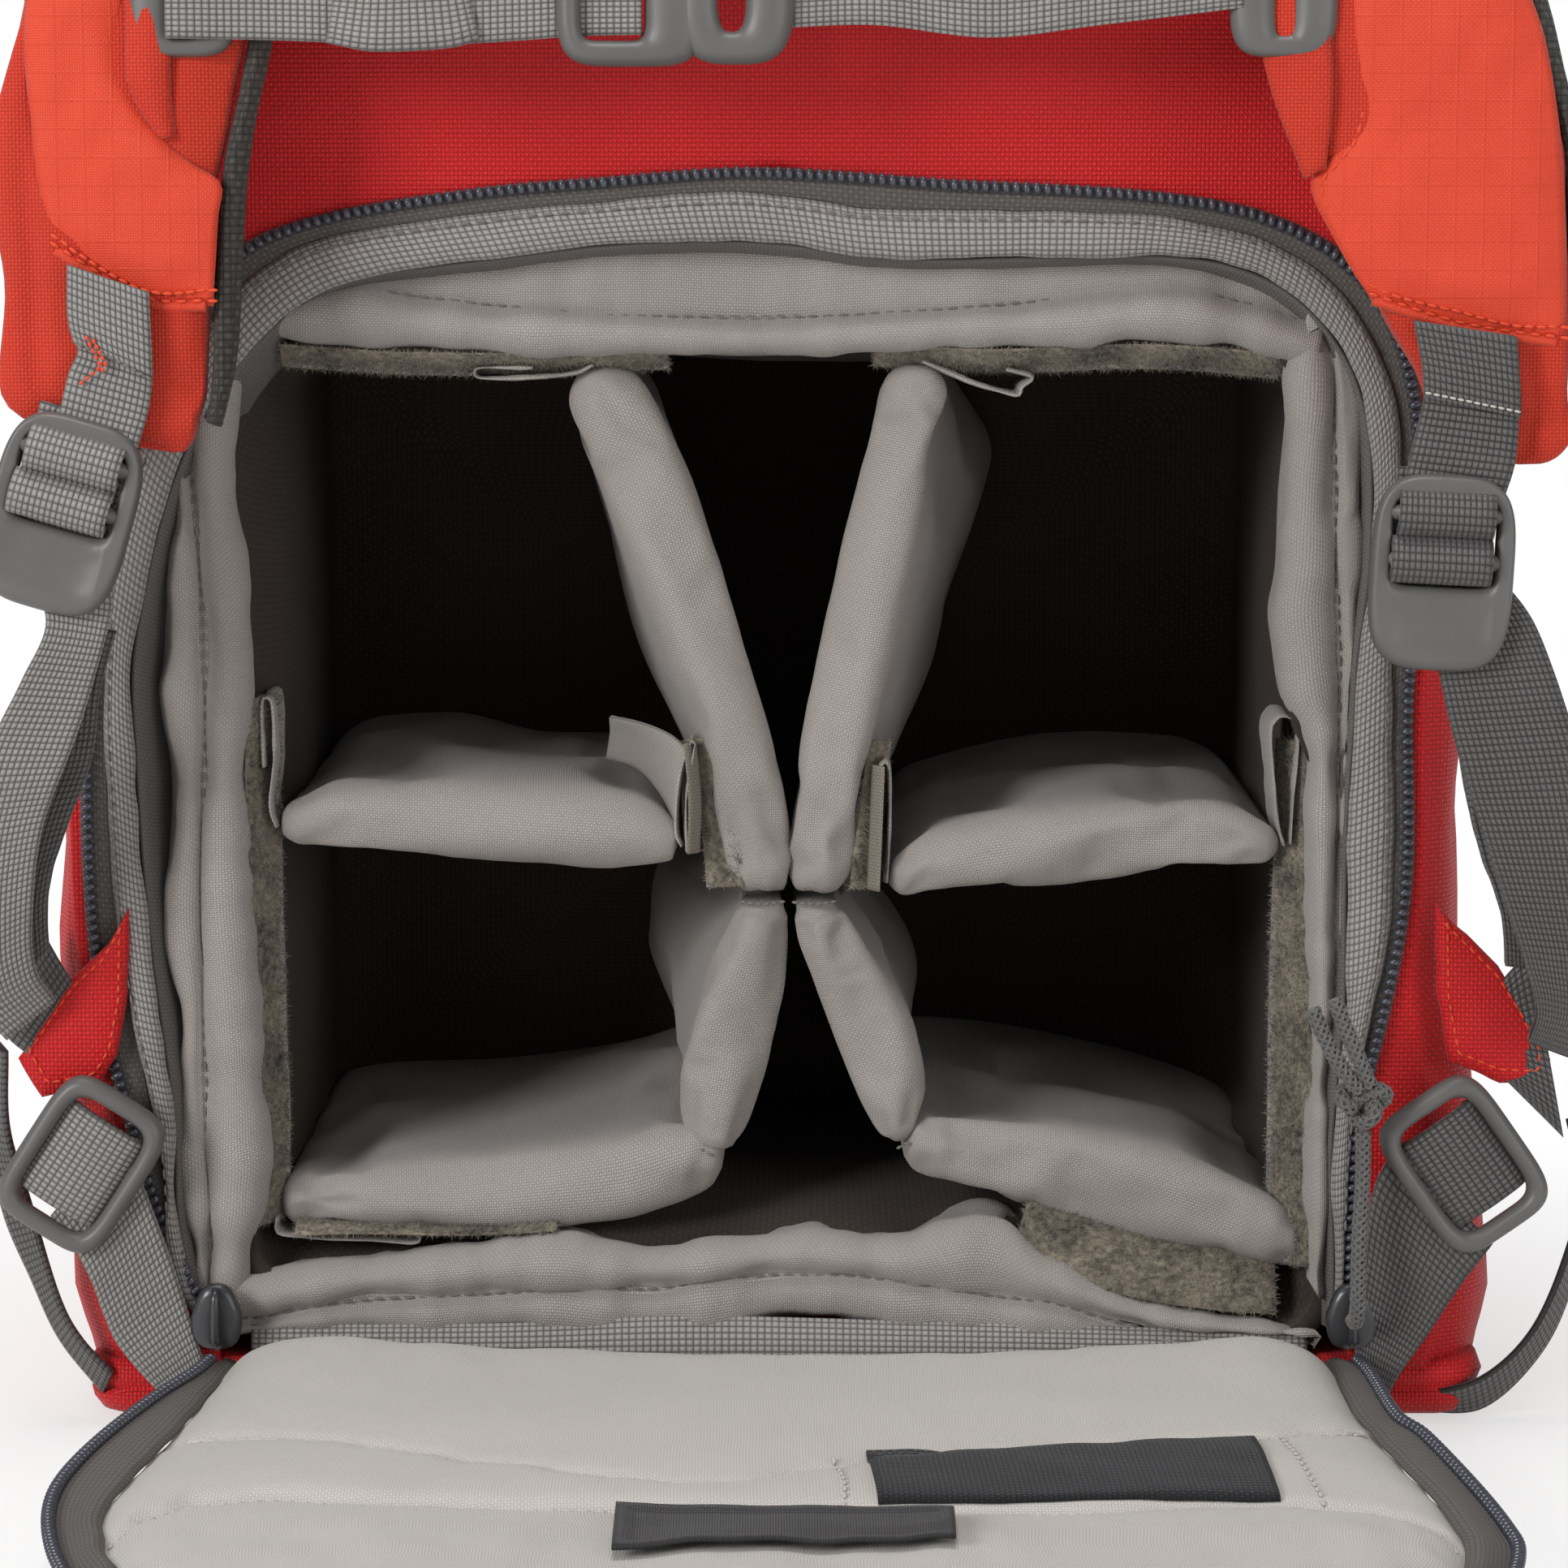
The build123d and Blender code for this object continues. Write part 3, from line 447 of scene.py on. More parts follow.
def bead_tree():
    """Geometry Nodes: one bead every Spacing along the piece's own line."""
    tree, given, end = tree_of_nodes(
        "beads_on_a_line",
        (("Line", "Geometry"), ("Spacing", "Float"), ("Length", "Float"), ("Width", "Float"),
         ("Height", "Float"), ("Facing", "Vector"), ("Turn", "Float"), ("Finish", "Material")))
    line = add(tree, "GeometryNodeMeshToCurve", {0: given.outputs["Line"]})
    even = add(tree, "GeometryNodeResampleCurve", {"Curve": line, "Length": given.outputs["Spacing"]},
               mode="LENGTH")
    ball = add(tree, "GeometryNodeMeshUVSphere", {"Segments": 8, "Rings": 5, "Radius": 0.5})
    size = add(tree, "ShaderNodeCombineXYZ", {
        0: given.outputs["Length"], 1: given.outputs["Width"], 2: given.outputs["Height"]})
    shaped = add(tree, "GeometryNodeTransform", {"Geometry": ball, "Scale": size})
    way = add(tree, "GeometryNodeInputTangent")
    ahead = add(tree, "FunctionNodeAlignRotationToVector", {"Vector": way}, axis="X")
    facing = add(tree, "FunctionNodeAlignRotationToVector", {
        "Rotation": ahead, "Vector": given.outputs["Facing"]}, axis="Z", pivot_axis="X")
    twist = add(tree, "ShaderNodeCombineXYZ", {2: given.outputs["Turn"]})
    skew = add(tree, "FunctionNodeRotateRotation", {0: facing, 1: twist}, rotation_space="LOCAL")
    spread = add(tree, "GeometryNodeInstanceOnPoints", {
        "Points": even, "Instance": shaped, "Rotation": skew})
    real = add(tree, "GeometryNodeRealizeInstances", {0: spread})
    return end(add(tree, "GeometryNodeSetShadeSmooth", {0: real}))


beads = bead_tree()


def beads_along(name, lines, spacing, size, finish, facing=(0, -1, 0), turn=0.0):
    """A mesh of beads along lines of points in millimetres."""
    points, edges = [], []
    for line in lines:
        start = len(points)
        points += [Vector(p) * mm for p in line]
        edges += [(k, k + 1) for k in range(start, len(points) - 1)]
    mesh = bpy.data.meshes.new(name)
    mesh.from_pydata(points, edges, [])
    mesh.materials.append(finish)
    piece = bpy.data.objects.new(name, mesh)
    bpy.context.collection.objects.link(piece)
    return baked(piece, beads, {
        "Spacing": spacing * mm, "Length": size[0] * mm, "Width": size[1] * mm, "Height": size[2] * mm,
        "Facing": facing, "Turn": turn, "Finish": finish})


def rails(name, lines, material, count, across, closed=False, caps=False):
    """A skin through side-by-side lines, smooth along them and across them."""
    spread = [curve_through(line, count) for line in lines]
    if closed:
        spread.append(spread[0])
    rings = [curve_through([line[k] for line in spread], across) for k in range(count)]
    if closed:
        rings = [ring[:-1] for ring in rings]
    return loft(name, rings, material, closed, caps)


def flat(line, y, dx=0.0, dz=0.0):
    """Points of an (x, z) line stood at a depth, moved sideways if asked."""
    return [Vector((x + dx, y, z + dz)) for x, z in line]


def midline(first, second, share=0.5):
    """The line part way between two (x, z) lines, matched by their length."""
    a = curve_through([(x, 0, z) for x, z in first], 60)
    b = curve_through([(x, 0, z) for x, z in second], 60)
    return [(p.lerp(q, share).x, p.lerp(q, share).z) for p, q in zip(a, b)]


binding_outer = [
    (-121, 19), (-127, 30), (-129.3, 41), (-129.6, 55), (-131.5, 68), (-134, 78), (-136.8, 91),
    (-138.6, 105), (-139.6, 118.5), (-140.2, 132), (-140.6, 150), (-139.5, 170), (-136.5, 190),
    (-130.5, 209), (-122, 225), (-111.4, 237.5), (-104.6, 242.9), (-92.4, 248.2), (-60.6, 253.2),
    (-37, 255.2), (-12, 257), (2, 256), (17.5, 254), (41, 253.6), (55, 253.3), (75, 252.3), (92.7, 249.3),
    (102, 245.6), (112.2, 238.5), (119.5, 229), (124, 219), (126.5, 205), (126.6, 185), (125.5, 165),
    (125.5, 150), (126.2, 138), (126.2, 122), (125.8, 105), (123, 89), (120.5, 77), (118.2, 57),
    (117.6, 40), (117.2, 20)]
binding_inner = [
    (-119, 19), (-124.5, 31), (-127.0, 44), (-127.2, 58), (-128.2, 72), (-129.8, 85), (-131.4, 98),
    (-132.6, 112), (-133.4, 125), (-134.2, 142), (-134.6, 158), (-132.5, 172), (-128.5, 189), (-123.5, 203),
    (-116, 217), (-107, 227.5), (-98, 234.8), (-85.7, 240.0), (-60.7, 243.4), (-37.2, 246.2), (-15, 247.2),
    (2, 246.3), (14, 244.4), (33, 243.4), (55, 243.9), (75, 244.2), (88.8, 242.6), (98.8, 239.2),
    (106.5, 234), (112.3, 227.6), (117, 219.5), (120, 209), (121, 196), (120.6, 178), (118.6, 162),
    (118, 148), (117.3, 136), (116.8, 122), (116.8, 106), (116.9, 91), (116, 78), (114.8, 62), (114.7, 50),
    (115.3, 38), (115.5, 20)]
coil_path = [(p.x, p.z) for p in coil_points[::5]] + [(coil_points[-1].x, coil_points[-1].z)]
beads_line = [Vector((x, -81.5, z)) for x, z in coil_path]
place_piece(
    beads_along("opening_coil", [beads_line], 2.1, (1.9, 3.1, 2.5), coil_nylon, turn=0.25), "root",
    ("opening_zip",))
tape_inner = midline(coil_path, binding_inner, 0.55)
tape_outer = [(x * 1.012, z + 0.9 * (z > 200)) for x, z in coil_path]
opening_tape = rails(
    "opening_tape", [flat(tape_outer, -79.6), flat(coil_path, -80.4), flat(tape_inner, -79.4)], zip_tape,
    260, 9)
modified(opening_tape, "SOLIDIFY", thickness=0.0006, offset=0)
place_piece(opening_tape, "root")

binding_mid = midline(binding_outer, binding_inner, 0.45)
binding = rails(
    "opening_binding_fold",
    [flat(binding_outer, -80.2), flat(midline(binding_outer, binding_inner, 0.12), -82.2),
     flat(binding_mid, -83.0), flat(midline(binding_outer, binding_inner, 0.85), -82.4),
     flat(binding_inner, -80.8), flat(midline(binding_outer, binding_inner, 0.9), -79.2),
     flat(binding_mid, -79.0)],
    binding_webbing, 420, 22, closed=True, caps=True)
crumple(binding, 0.7, 16, 5.0, lambda p: 1.0 if p.z > 30 else 0.0)
place_piece(binding, "root", ("opening_binding",))

# The binding is sewn to a facing of grey cloth, which runs in behind the rims.
facing_cloth = woven("facing_cloth_grey", "#6E6A66", "#454240", 0.8, 0.8, 0.5, 0.7, 0.1, 0.12)
facing_in = [(x * 0.955, 130 + (z - 130) * 0.965 if z > 60 else z) for x, z in binding_inner]
facing = rails(
    "opening_facing",
    [flat(binding_inner, -79.4), flat(midline(binding_inner, facing_in, 0.45), -73), flat(facing_in, -58)],
    facing_cloth, 260, 9)
modified(facing, "SOLIDIFY", thickness=0.0008, offset=0)
place_piece(facing, "root")



def plain(name, colour, roughness, coat=0.0):
    """A material of one colour all over."""
    material, tree, shader = new_material(name)
    feed(tree, shader, {"Base Color": linear(colour), "Roughness": roughness, "Coat Weight": coat})
    return material


# Spun polyester thread is matt, and is drawn a little thick so that each stitch shows.
seam_thread = plain("polyester_thread_grey", "#6F6B67", 0.7)
place_piece(
    beads_along("binding_stitches", [flat(midline(binding_outer, binding_inner, 0.2), -83.1)[2:-2]], 3.4,
        (2.5, 0.6, 0.6), seam_thread),
    "root")
sill_webbing = rails("sill_webbing", [
    [(-112, -77.6, 11.2), (-60, -77.8, 11.4), (-20, -78.0, 11.3), (30, -77.9, 11.5), (110, -77.6, 11.2)],
    [(-112, -78.0, 14.0), (-60, -78.4, 14.2), (-20, -78.8, 14.3), (30, -78.6, 14.2), (110, -78.0, 13.8)],
    [(-112, -77.8, 17.0), (-60, -78.2, 17.2), (-20, -78.6, 18.0), (30, -78.3, 17.4), (110, -77.8, 16.2)],
    [(-112, -76.6, 20.2), (-60, -76.9, 20.6), (-20, -77.1, 22.2), (30, -76.9, 21.0), (110, -76.6, 18.6)]],
    binding_webbing, 90, 10)
modified(sill_webbing, "SOLIDIFY", thickness=0.0014, offset=0)
place_piece(sill_webbing, "root")

# ------------------------------------------------------------- the camera insert
# A box of foam in two cloths: brushed dark pile inside, grey oxford lining on
# the rims. Each rim is one pad with a line sewn along its middle.
lining_grey = woven("oxford_lining_grey", "#B9B2AD", "#6E6863", 0.56, 0.5, 0.7, 0.44, 0.25, 0.1)
brushed_dark = woven("brushed_loop_lining_dark", "#473E38", "#2D2722", 1.3, 1.3, 0.35, 0.97, 0.03, 0.3)


def bay_ring(y, grow, swell):
    """A ring of the insert's inside, seen from the front, at a depth."""
    corners = ((97, 212.5, 10, 0), (-97, 212.5, 10, 90), (-97, 52.5, 10, 180), (97, 52.5, 10, 270))
    loop = cornered(corners, 10, lambda x, z: Vector((x, y, z)))
    full = []
    for a, b in zip(loop, loop[1:] + loop[:1]):
        steps = max(1, int((b - a).length / 9))
        full += [a.lerp(b, k / steps) for k in range(steps)]
    middle = Vector((0, y, 132.5))
    out = []
    for p in full:
        way = p - middle
        soft = swell * (1 - min(1, abs(way.x) / 107) ** 2 * min(1, abs(way.z) / 90) ** 2)
        out.append(middle + way * (grow - soft / 107))
    return out


left_outer = [
    (-123, 232), (-124.5, 220), (-126, 205), (-127, 190), (-128.5, 175), (-129.5, 157), (-129, 148),
    (-127.5, 138), (-127.1, 123), (-129.6, 112), (-130, 101), (-127, 90), (-126.6, 82), (-128, 74),
    (-127.4, 60), (-126.6, 48), (-125, 36), (-123, 22)]
left_seam = [
    (-118, 232), (-121, 220), (-122.5, 204), (-121.3, 189), (-120.4, 173), (-120, 156), (-120.3, 140),
    (-121.2, 122), (-121.5, 108), (-121.4, 94), (-121.2, 78), (-121.2, 62), (-120.7, 50), (-120.6, 40),
    (-121, 24)]
left_inner = [
    (-108, 228), (-112.5, 218), (-113.5, 202), (-111.3, 185), (-109.8, 170), (-109.3, 157), (-110.5, 150),
    (-111.5, 140), (-111.6, 125), (-111.2, 112), (-110, 98), (-108.9, 80), (-108.3, 66), (-109.2, 50),
    (-111.8, 36), (-113, 28)]
right_outer = [
    (104, 246), (113, 236), (118.5, 222), (120.3, 211), (120.5, 196), (120.4, 180), (118.7, 158),
    (117.3, 138), (116.5, 122), (116.4, 105), (117, 91), (116.5, 70), (117, 50), (117, 34), (115, 18)]
right_seam = [
    (109.6, 230.5), (112, 226), (113.2, 216.5), (113.5, 203), (113.6, 190), (114.5, 173), (115.2, 158),
    (115.2, 145), (115, 125), (115, 100), (115, 70), (115.2, 45), (114, 26)]
right_inner = [
    (104.5, 226), (103.1, 219), (103.5, 211), (102.7, 196), (102.3, 180), (101.0, 171), (101.8, 163),
    (103.6, 152), (107.6, 146), (108.6, 130), (108.9, 105), (109.3, 91), (109.2, 70), (109.5, 50),
    (109.5, 30)]
top_upper = [(-112, 244), (-95, 249), (-60, 253), (0, 256), (60, 253), (95, 248), (110, 238)]
top_seam = [
    (-112, 234), (-95.2, 237), (-85.7, 237.4), (-72.2, 235.5), (-60.7, 234.2), (-37.2, 231.9),
    (-15.3, 231.7), (9.7, 231.8), (33.2, 233.2), (55.4, 235.2), (75.5, 236.7), (88.8, 236.0), (98.9, 233.4),
    (105.6, 231), (110.5, 230.4)]
top_lower = [
    (-113, 228.6), (-92.6, 226.4), (-65.5, 224.2), (-60.8, 223.9), (-40, 223.9), (-25.5, 223.7),
    (-10.6, 222.9), (5.8, 223.3), (18.4, 224.4), (55.5, 225.2), (72.2, 227.4), (82.2, 227.0), (95.7, 224.5),
    (109, 221.5)]
bottom_lower = [
    (-116, 17.5), (-95, 17.6), (-69, 16), (-53.9, 18.0), (-35.3, 16.3), (-20, 16.6), (-9.8, 17.6),
    (2.9, 21.0), (15.6, 19.6), (32.5, 16.5), (53.8, 14.5), (77.5, 14.6), (112, 15)]
bottom_seam = [
    (-117, 21.5), (-110, 21.6), (-101.9, 23.6), (-88.0, 25.6), (-74.1, 26.2), (-60, 27.0), (-43.7, 27.6),
    (-27, 27.9), (-14.1, 29.9), (-3, 30.9), (15.6, 30.6), (28.3, 28.6), (42, 26.6), (56.5, 24.8),
    (70.6, 20.6), (84.4, 18.4), (112, 17.4)]
bottom_upper = [
    (-116, 31.5), (-105.3, 32.3), (-87.9, 34.8), (-67.1, 37.0), (-47.9, 39.0), (-33, 37.2), (-18.3, 37.2),
    (4.6, 40.0), (24.0, 38.5), (32.4, 40.7), (40.9, 43.4), (47.6, 42.0), (52.8, 37), (57.5, 33.6),
    (70.6, 27.4), (84.4, 23), (100, 20.6), (112, 20)]


def mouth(p, share):
    """Draws a point of the bays' ring out to the rims, so that no gap shows round them."""
    u, v = (p.x + 107) / 214, (p.z - 42.5) / 180
    west = between(sorted((z, x) for x, z in left_inner), p.z) - 2.5
    east = between(sorted((z, x) for x, z in right_inner), p.z) + 2.5
    low, high = between(sorted(bottom_upper), p.x) - 3, between(sorted(top_lower), p.x) + 3
    goal = Vector((west + u * (east - west), p.y, low + v * (high - low)))
    return p.lerp(goal, share)


bay_rows = [
    (-75, 1.0, 0, 1.0), (-71, 1.0, 0, 1.0), (-66, 1.0, 0.6, 0.9), (-58, 1.0, 1.0, 0.6),
    (-46, 1.0, 1.2, 0.25), (-25, 1.0, 1.8, 0), (0, 1.0, 1.9, 0), (25, 1.0, 1.6, 0), (45, 1.0, 1.0, 0),
    (57, 0.995, 0.4, 0), (61, 0.97, 0, 0), (62.0, 0.85, 0, 0), (61.4, 0.6, 0, 0), (61.0, 0.3, 0, 0),
    (61.0, 0.002, 0, 0)]
bays = loft(
    "insert_inside",
    [[mouth(p, share) for p in bay_ring(y, grow, swell)] for y, grow, swell, share in bay_rows],
    brushed_dark, caps=False)
crumple(bays, 0.7, 30, 2.0, lambda p: 1.0 if p.y > -60 else 0.2)
modified(bays, "SOLIDIFY", thickness=0.004, offset=-1)
place_piece(bays, "root", ("insert_back_pad",))


def rim(name, outer, seam, inner, away, material, lay, seed, nodes, deep=0):
    """A sewn rim: an outer roll, a stitched line drawn in, an inner roll, and its back."""
    ax, az = away
    lines = [
        flat(outer, -60 + deep, ax * 3, az * 3), flat(outer, -71 + deep),
        flat(midline(outer, seam, 0.22), -76.6 + deep), flat(midline(outer, seam, 0.6), -78.2 + deep * 0.8),
        flat(seam, -77.6 + deep * 0.4, ax * 1.3, az * 1.3), flat(seam, -75.2),
        flat(seam, -77.8, -ax * 1.3, -az * 1.3), flat(midline(seam, inner, 0.45), -79.6),
        flat(midline(seam, inner, 0.82), -77.6), flat(inner, -73), flat(inner, -66, ax * 1.2, az * 1.2),
        flat(inner, -52, ax * 3.0, az * 3.0),
    ]
    piece = rails(name, lines, material, 170, 44, closed=True, caps=True)
    tidy_normals(piece)
    for vertex in piece.data.vertices:
        at = vertex.co * 1000
        pucker = noise.noise(Vector((at.x * lay[0], at.y * 0.02, at.z * lay[1])) + Vector((seed, 0, 0)))
        ripple = noise.noise(
            Vector((at.x * lay[0] * 2.4, at.y * 0.05, at.z * lay[1] * 2.4)) + Vector((0, seed, 0)))
        if at.y < -62:
            vertex.co += vertex.normal * (1.8 * pucker + 0.9 * ripple) * mm
    piece.data.update()
    place_piece(piece, "root", nodes)
    place_piece(
        beads_along(name + "_stitches", [flat(seam, -75.9)], 3.2, (2.4, 0.55, 0.6), seam_thread), "root")
    return piece


rim(
    "rim_left", left_outer, left_seam, left_inner, (-1, 0), lining_grey, (0.012, 0.055), 1.7,
    ("insert_left_pad",))
rim(
    "rim_right", right_outer, right_seam, right_inner, (1, 0), lining_grey, (0.012, 0.06), 4.1,
    ("insert_right_pad",))
rim(
    "rim_top", top_upper, top_seam, top_lower, (0, 1), lining_grey, (0.06, 0.014), 6.3, ("insert_top_pad",),
    deep=7)
rim(
    "rim_bottom", bottom_lower, bottom_seam, bottom_upper, (0, -1), lining_grey, (0.07, 0.02), 2.2,
    ("insert_bottom_pad",))

# ------------------------------------------------------------ the foam dividers
# Sheets of closed-cell foam in the same grey lining, folded round at the front
# edge, sewn flat at each end and hinged on the seam where two of them meet.


settling_steps = 20


def puff(piece, sewn, cap, spare):
    """Blows a closed pad up inside its cloth, held where it is sewn, by no more than cap millimetres."""
    start = [vertex.co.copy() for vertex in piece.data.vertices]
    group = piece.vertex_groups.new(name="sewn")
    for vertex in piece.data.vertices:
        weight = sewn(vertex.co * 1000)
        if weight > 0:
            group.add([vertex.index], weight, "REPLACE")
    change = piece.modifiers.new("Cloth", "CLOTH")
    cloth = change.settings
    cloth.quality = 5
    cloth.mass = 0.3
    cloth.tension_stiffness = cloth.compression_stiffness = 12
    cloth.bending_stiffness = 0.6
    cloth.use_pressure = True
    cloth.uniform_pressure_force = 4.0
    cloth.shrink_min = -spare
    cloth.vertex_group_mass = "sewn"
    cloth.pin_stiffness = 4
    cloth.effector_weights.gravity = 0
    change.point_cache.frame_start = 1
    change.point_cache.frame_end = settling_steps
    scene = bpy.context.scene
    for step in range(1, settling_steps + 1):
        scene.frame_set(step)
    graph = bpy.context.evaluated_depsgraph_get()
    blown = piece.evaluated_get(graph).data
    for vertex, old, new in zip(piece.data.vertices, start, [v.co.copy() for v in blown.vertices]):
        way = new - old
        far = way.length * 1000
        vertex.co = old + way * (min(far, cap) / max(far, 1e-6))
    piece.modifiers.clear()
    piece.vertex_groups.clear()
    scene.frame_set(1)
    return modified(piece, "SUBSURF", levels=1, render_levels=1)


def pad(name, first, second, lean):
    """A foam sheet seen from its front edge, between two (x, z) lines, that leans with depth."""
    front, back, count = -72.5, 60.0, 44
    a = curve_through([(x, 0, z) for x, z in first], count)
    b = curve_through([(x, 0, z) for x, z in second], count)
    lean_x = [(share, shift[0]) for share, shift in lean]
    lean_z = [(share, shift[1]) for share, shift in lean]
    rings = []
    for k in range(count):
        t = k / (count - 1)
        thick = (b[k] - a[k]).length
        tuck = 5.0 * (exp(-k / 1.6) + exp(-(count - 1 - k) / 1.6))
        shift = Vector((between(lean_x, t), 0, between(lean_z, t)))
        ring = []
        for step in range(11):
            angle = pi * (step / 10 - 0.5)
            ring.append((0.5 + 0.5 * sin(angle), front + tuck + thick * 0.62 * (1 - cos(angle))))
        for step in range(1, 11):
            ring.append((1.0 - 0.02 * sin(pi * step / 10), front + 9 + (back - front - 9) * step / 10))
        for step in range(1, 4):
            ring.append((1.0 - step / 4, back + 3 * sin(pi * step / 4)))
        for step in range(11):
            ring.append((0.02 * sin(pi * step / 10), back - (back - front - 9) * step / 10))
        line = []
        for share, y in ring[:-1]:
            deep = max(0.0, (y - front - 8) / (back - front))
            spot = a[k].lerp(b[k], share) + shift * deep
            line.append(Vector((spot.x, y, spot.z)))
        rings.append(line)
    return tidy_normals(loft(name, rings, lining_grey, caps=True))


def ends_of(first, second):
    """Full hold at both ends of a pad, and at its back."""
    near = [Vector((p[0], 0, p[1])) for p in (first[0], first[-1], second[0], second[-1])]

    def hold(p):
        flat_p = Vector((p.x, 0, p.z))
        return 1.0 if min((flat_p - q).length for q in near) < 3.0 or p.y > 40 else 0.0

    return hold


upper_left = (
    [(-41.5, 221.5), (-45.0, 213.5), (-41.3, 205), (-36.7, 197), (-31.7, 183), (-26.7, 169), (-21.7, 155.5),
     (-17.5, 142.5), (-14.4, 131.5), (-11.6, 120), (-10.0, 113), (-8.6, 109.6)],
    [(-38.6, 222), (-30, 218.5), (-26.0, 210), (-20.5, 195.5), (-15.8, 180.8), (-10.8, 164.4), (-7.3, 153),
     (-3.4, 139.4), (-0.6, 124.5), (0.6, 117), (0.6, 112.5), (-0.2, 109.6)])
upper_right = (
    [(27.2, 223), (22.7, 219.5), (20.0, 209), (15.8, 191.7), (11.1, 172.2), (7.3, 154.3), (4.4, 139),
     (2.4, 126), (1.6, 117), (1.6, 112.5), (2.3, 109.6)],
    [(30.5, 222.4), (33.0, 217), (32.0, 209), (28.2, 193), (25.1, 176.5), (21.5, 158.5), (18.6, 143),
     (16.4, 130.5), (14.6, 118), (12.6, 112.4), (9.6, 109.6)])
lower_left = (
    [(-8.4, 109), (-13, 104), (-17.4, 96), (-19.8, 87), (-21.4, 77), (-22.4, 67), (-20.8, 60),
     (-17.4, 56.2)],
    [(-0.4, 109), (0.5, 102), (-0.4, 92), (-2.9, 83), (-4.8, 71), (-7.2, 61.5), (-10.4, 57), (-14.6, 55.6)])
lower_right = (
    [(2.4, 109), (3.8, 100), (7.6, 89.5), (11.4, 78.8), (15.0, 69), (19.6, 61.6), (24.2, 57.2)],
    [(10.4, 109), (16.4, 99), (22.2, 90.4), (27.0, 82.5), (29.6, 75), (29.4, 67.4), (27.4, 61.5),
     (25.6, 57.6)])
foot_left = (
    [(-12.6, 52.0), (-20.0, 44.6), (-28, 41), (-36.2, 39.8), (-52, 39.4), (-68.4, 39.2), (-84, 39.8),
     (-94.3, 40.2), (-103, 40.2), (-107, 42.6)],
    [(-12.0, 57.0), (-16.0, 61.4), (-23.2, 61.2), (-29, 59.2), (-36.1, 56.9), (-52, 54.2), (-68.3, 52.6),
     (-90.9, 52.2), (-103, 50.2), (-107, 46.0)])
foot_right = (
    [(24.6, 54.5), (30, 50.4), (41.3, 47.5), (56, 43.6), (70.4, 39.3), (82, 35.8), (93.0, 32.9),
     (104, 30.8), (112.5, 31.4)],
    [(25.2, 58.5), (28.5, 63.0), (41.2, 62.2), (57, 59.8), (73.4, 56.7), (84, 54.0), (92.8, 51.2),
     (103.5, 46.6), (112.5, 38.6)])
shelf_left = (
    [(-106.0, 124.6), (-104.0, 121.6), (-96, 119.8), (-77.7, 119.2), (-54.3, 117.7), (-38.6, 116.9),
     (-29.3, 117.4), (-24.6, 119.0), (-21.6, 120.9)],
    [(-106.0, 125.4), (-103.6, 130.6), (-96.6, 134.4), (-83.8, 134.2), (-62.0, 133.4), (-38.6, 132.2),
     (-30.8, 131.0), (-25.3, 126.8), (-21.4, 121.7)])
shelf_right = (
    [(21.4, 113.0), (26.9, 110.2), (39.4, 111.0), (58.2, 113.4), (73.8, 115.4), (89.4, 116.7),
     (97.2, 116.9), (101.6, 118.5), (104.6, 120.6)],
    [(21.5, 113.8), (26.1, 121.0), (33.1, 124.0), (50.3, 126.8), (70.5, 128.8), (89.3, 128.8),
     (96.3, 127.6), (101.0, 125.2), (104.8, 121.4)])
# Each pad's lines, the (share along it, (x, z) lean at its back), the body, the node and a seed.
pads = {
    "divider_upper_left": (
        upper_left, ((0, (-1, 0)), (0.3, (-9, 0)), (0.6, (-14, 0)), (0.9, (-7, 0)), (1, (-2, 0))),
        "root", "left_divider_upper", 1.4),
    "divider_upper_right": (
        upper_right, ((0, (3, 0)), (0.25, (22, 0)), (0.6, (17, 0)), (0.9, (8, 0)), (1, (2, 0))),
        "root", "right_divider_upper", 2.7),
    "divider_lower_left": (
        lower_left, ((0, (-2, 0)), (0.15, (-16, 0)), (0.5, (-13, 0)), (0.85, (-3, 0)), (1, (0, 0))),
        "root", "left_divider_lower", 3.3),
    "divider_lower_right": (
        lower_right, ((0, (0, 0)), (0.4, (4, 0)), (1, (0, 0))), "root", "right_divider_lower", 5.9),
    "divider_foot_left": (
        foot_left, ((0, (0, 0)), (0.3, (0, 1)), (1, (0, 0))), "root", "left_divider_foot", 7.1),
    "divider_foot_right": (
        foot_right, ((0, (0, 0)), (0.3, (0, 1)), (1, (0, 0))), "root", "right_divider_foot", 8.8),
    "shelf_pad_left": (
        shelf_left, ((0, (0, -1)), (0.35, (0, 2)), (0.6, (0, -2)), (1, (0, 0))),
        "left_shelf_body", "left_shelf", 9.2),
    "shelf_pad_right": (
        shelf_right, ((0, (0, 0)), (0.5, (0, 3)), (1, (0, 1))), "right_shelf_body", "right_shelf", 10.4),
}
for name, ((first, second), lean, body, node, seed) in pads.items():
    piece = pad(name, first, second, lean)
    piece = puff(piece, ends_of(first, second), cap=2.2, spare=0.03)
    crumple(piece, 0.35, 15, seed, lambda p: 1.0 if p.y < -40 else 0.4)
    place_piece(piece, body, (node,))

# The seams that hinge the dividers are overcast in grey thread.
place_piece(beads_along("knee_stitches", [
    [(-8.6, -70.6, 109.4), (-6, -72, 109.1), (-3, -72.2, 109.2), (-0.4, -70.8, 109.4)],
    [(2.3, -70.8, 109.3), (5, -72.2, 109.1), (8, -72, 109.2), (10.4, -70.4, 109.4)],
    [(-17.4, -70.6, 56.6), (-15.4, -71, 55.6)], [(24.3, -70.6, 57.1), (25.8, -71, 58)]],
    1.7, (1.5, 0.7, 0.8), seam_thread), "root")

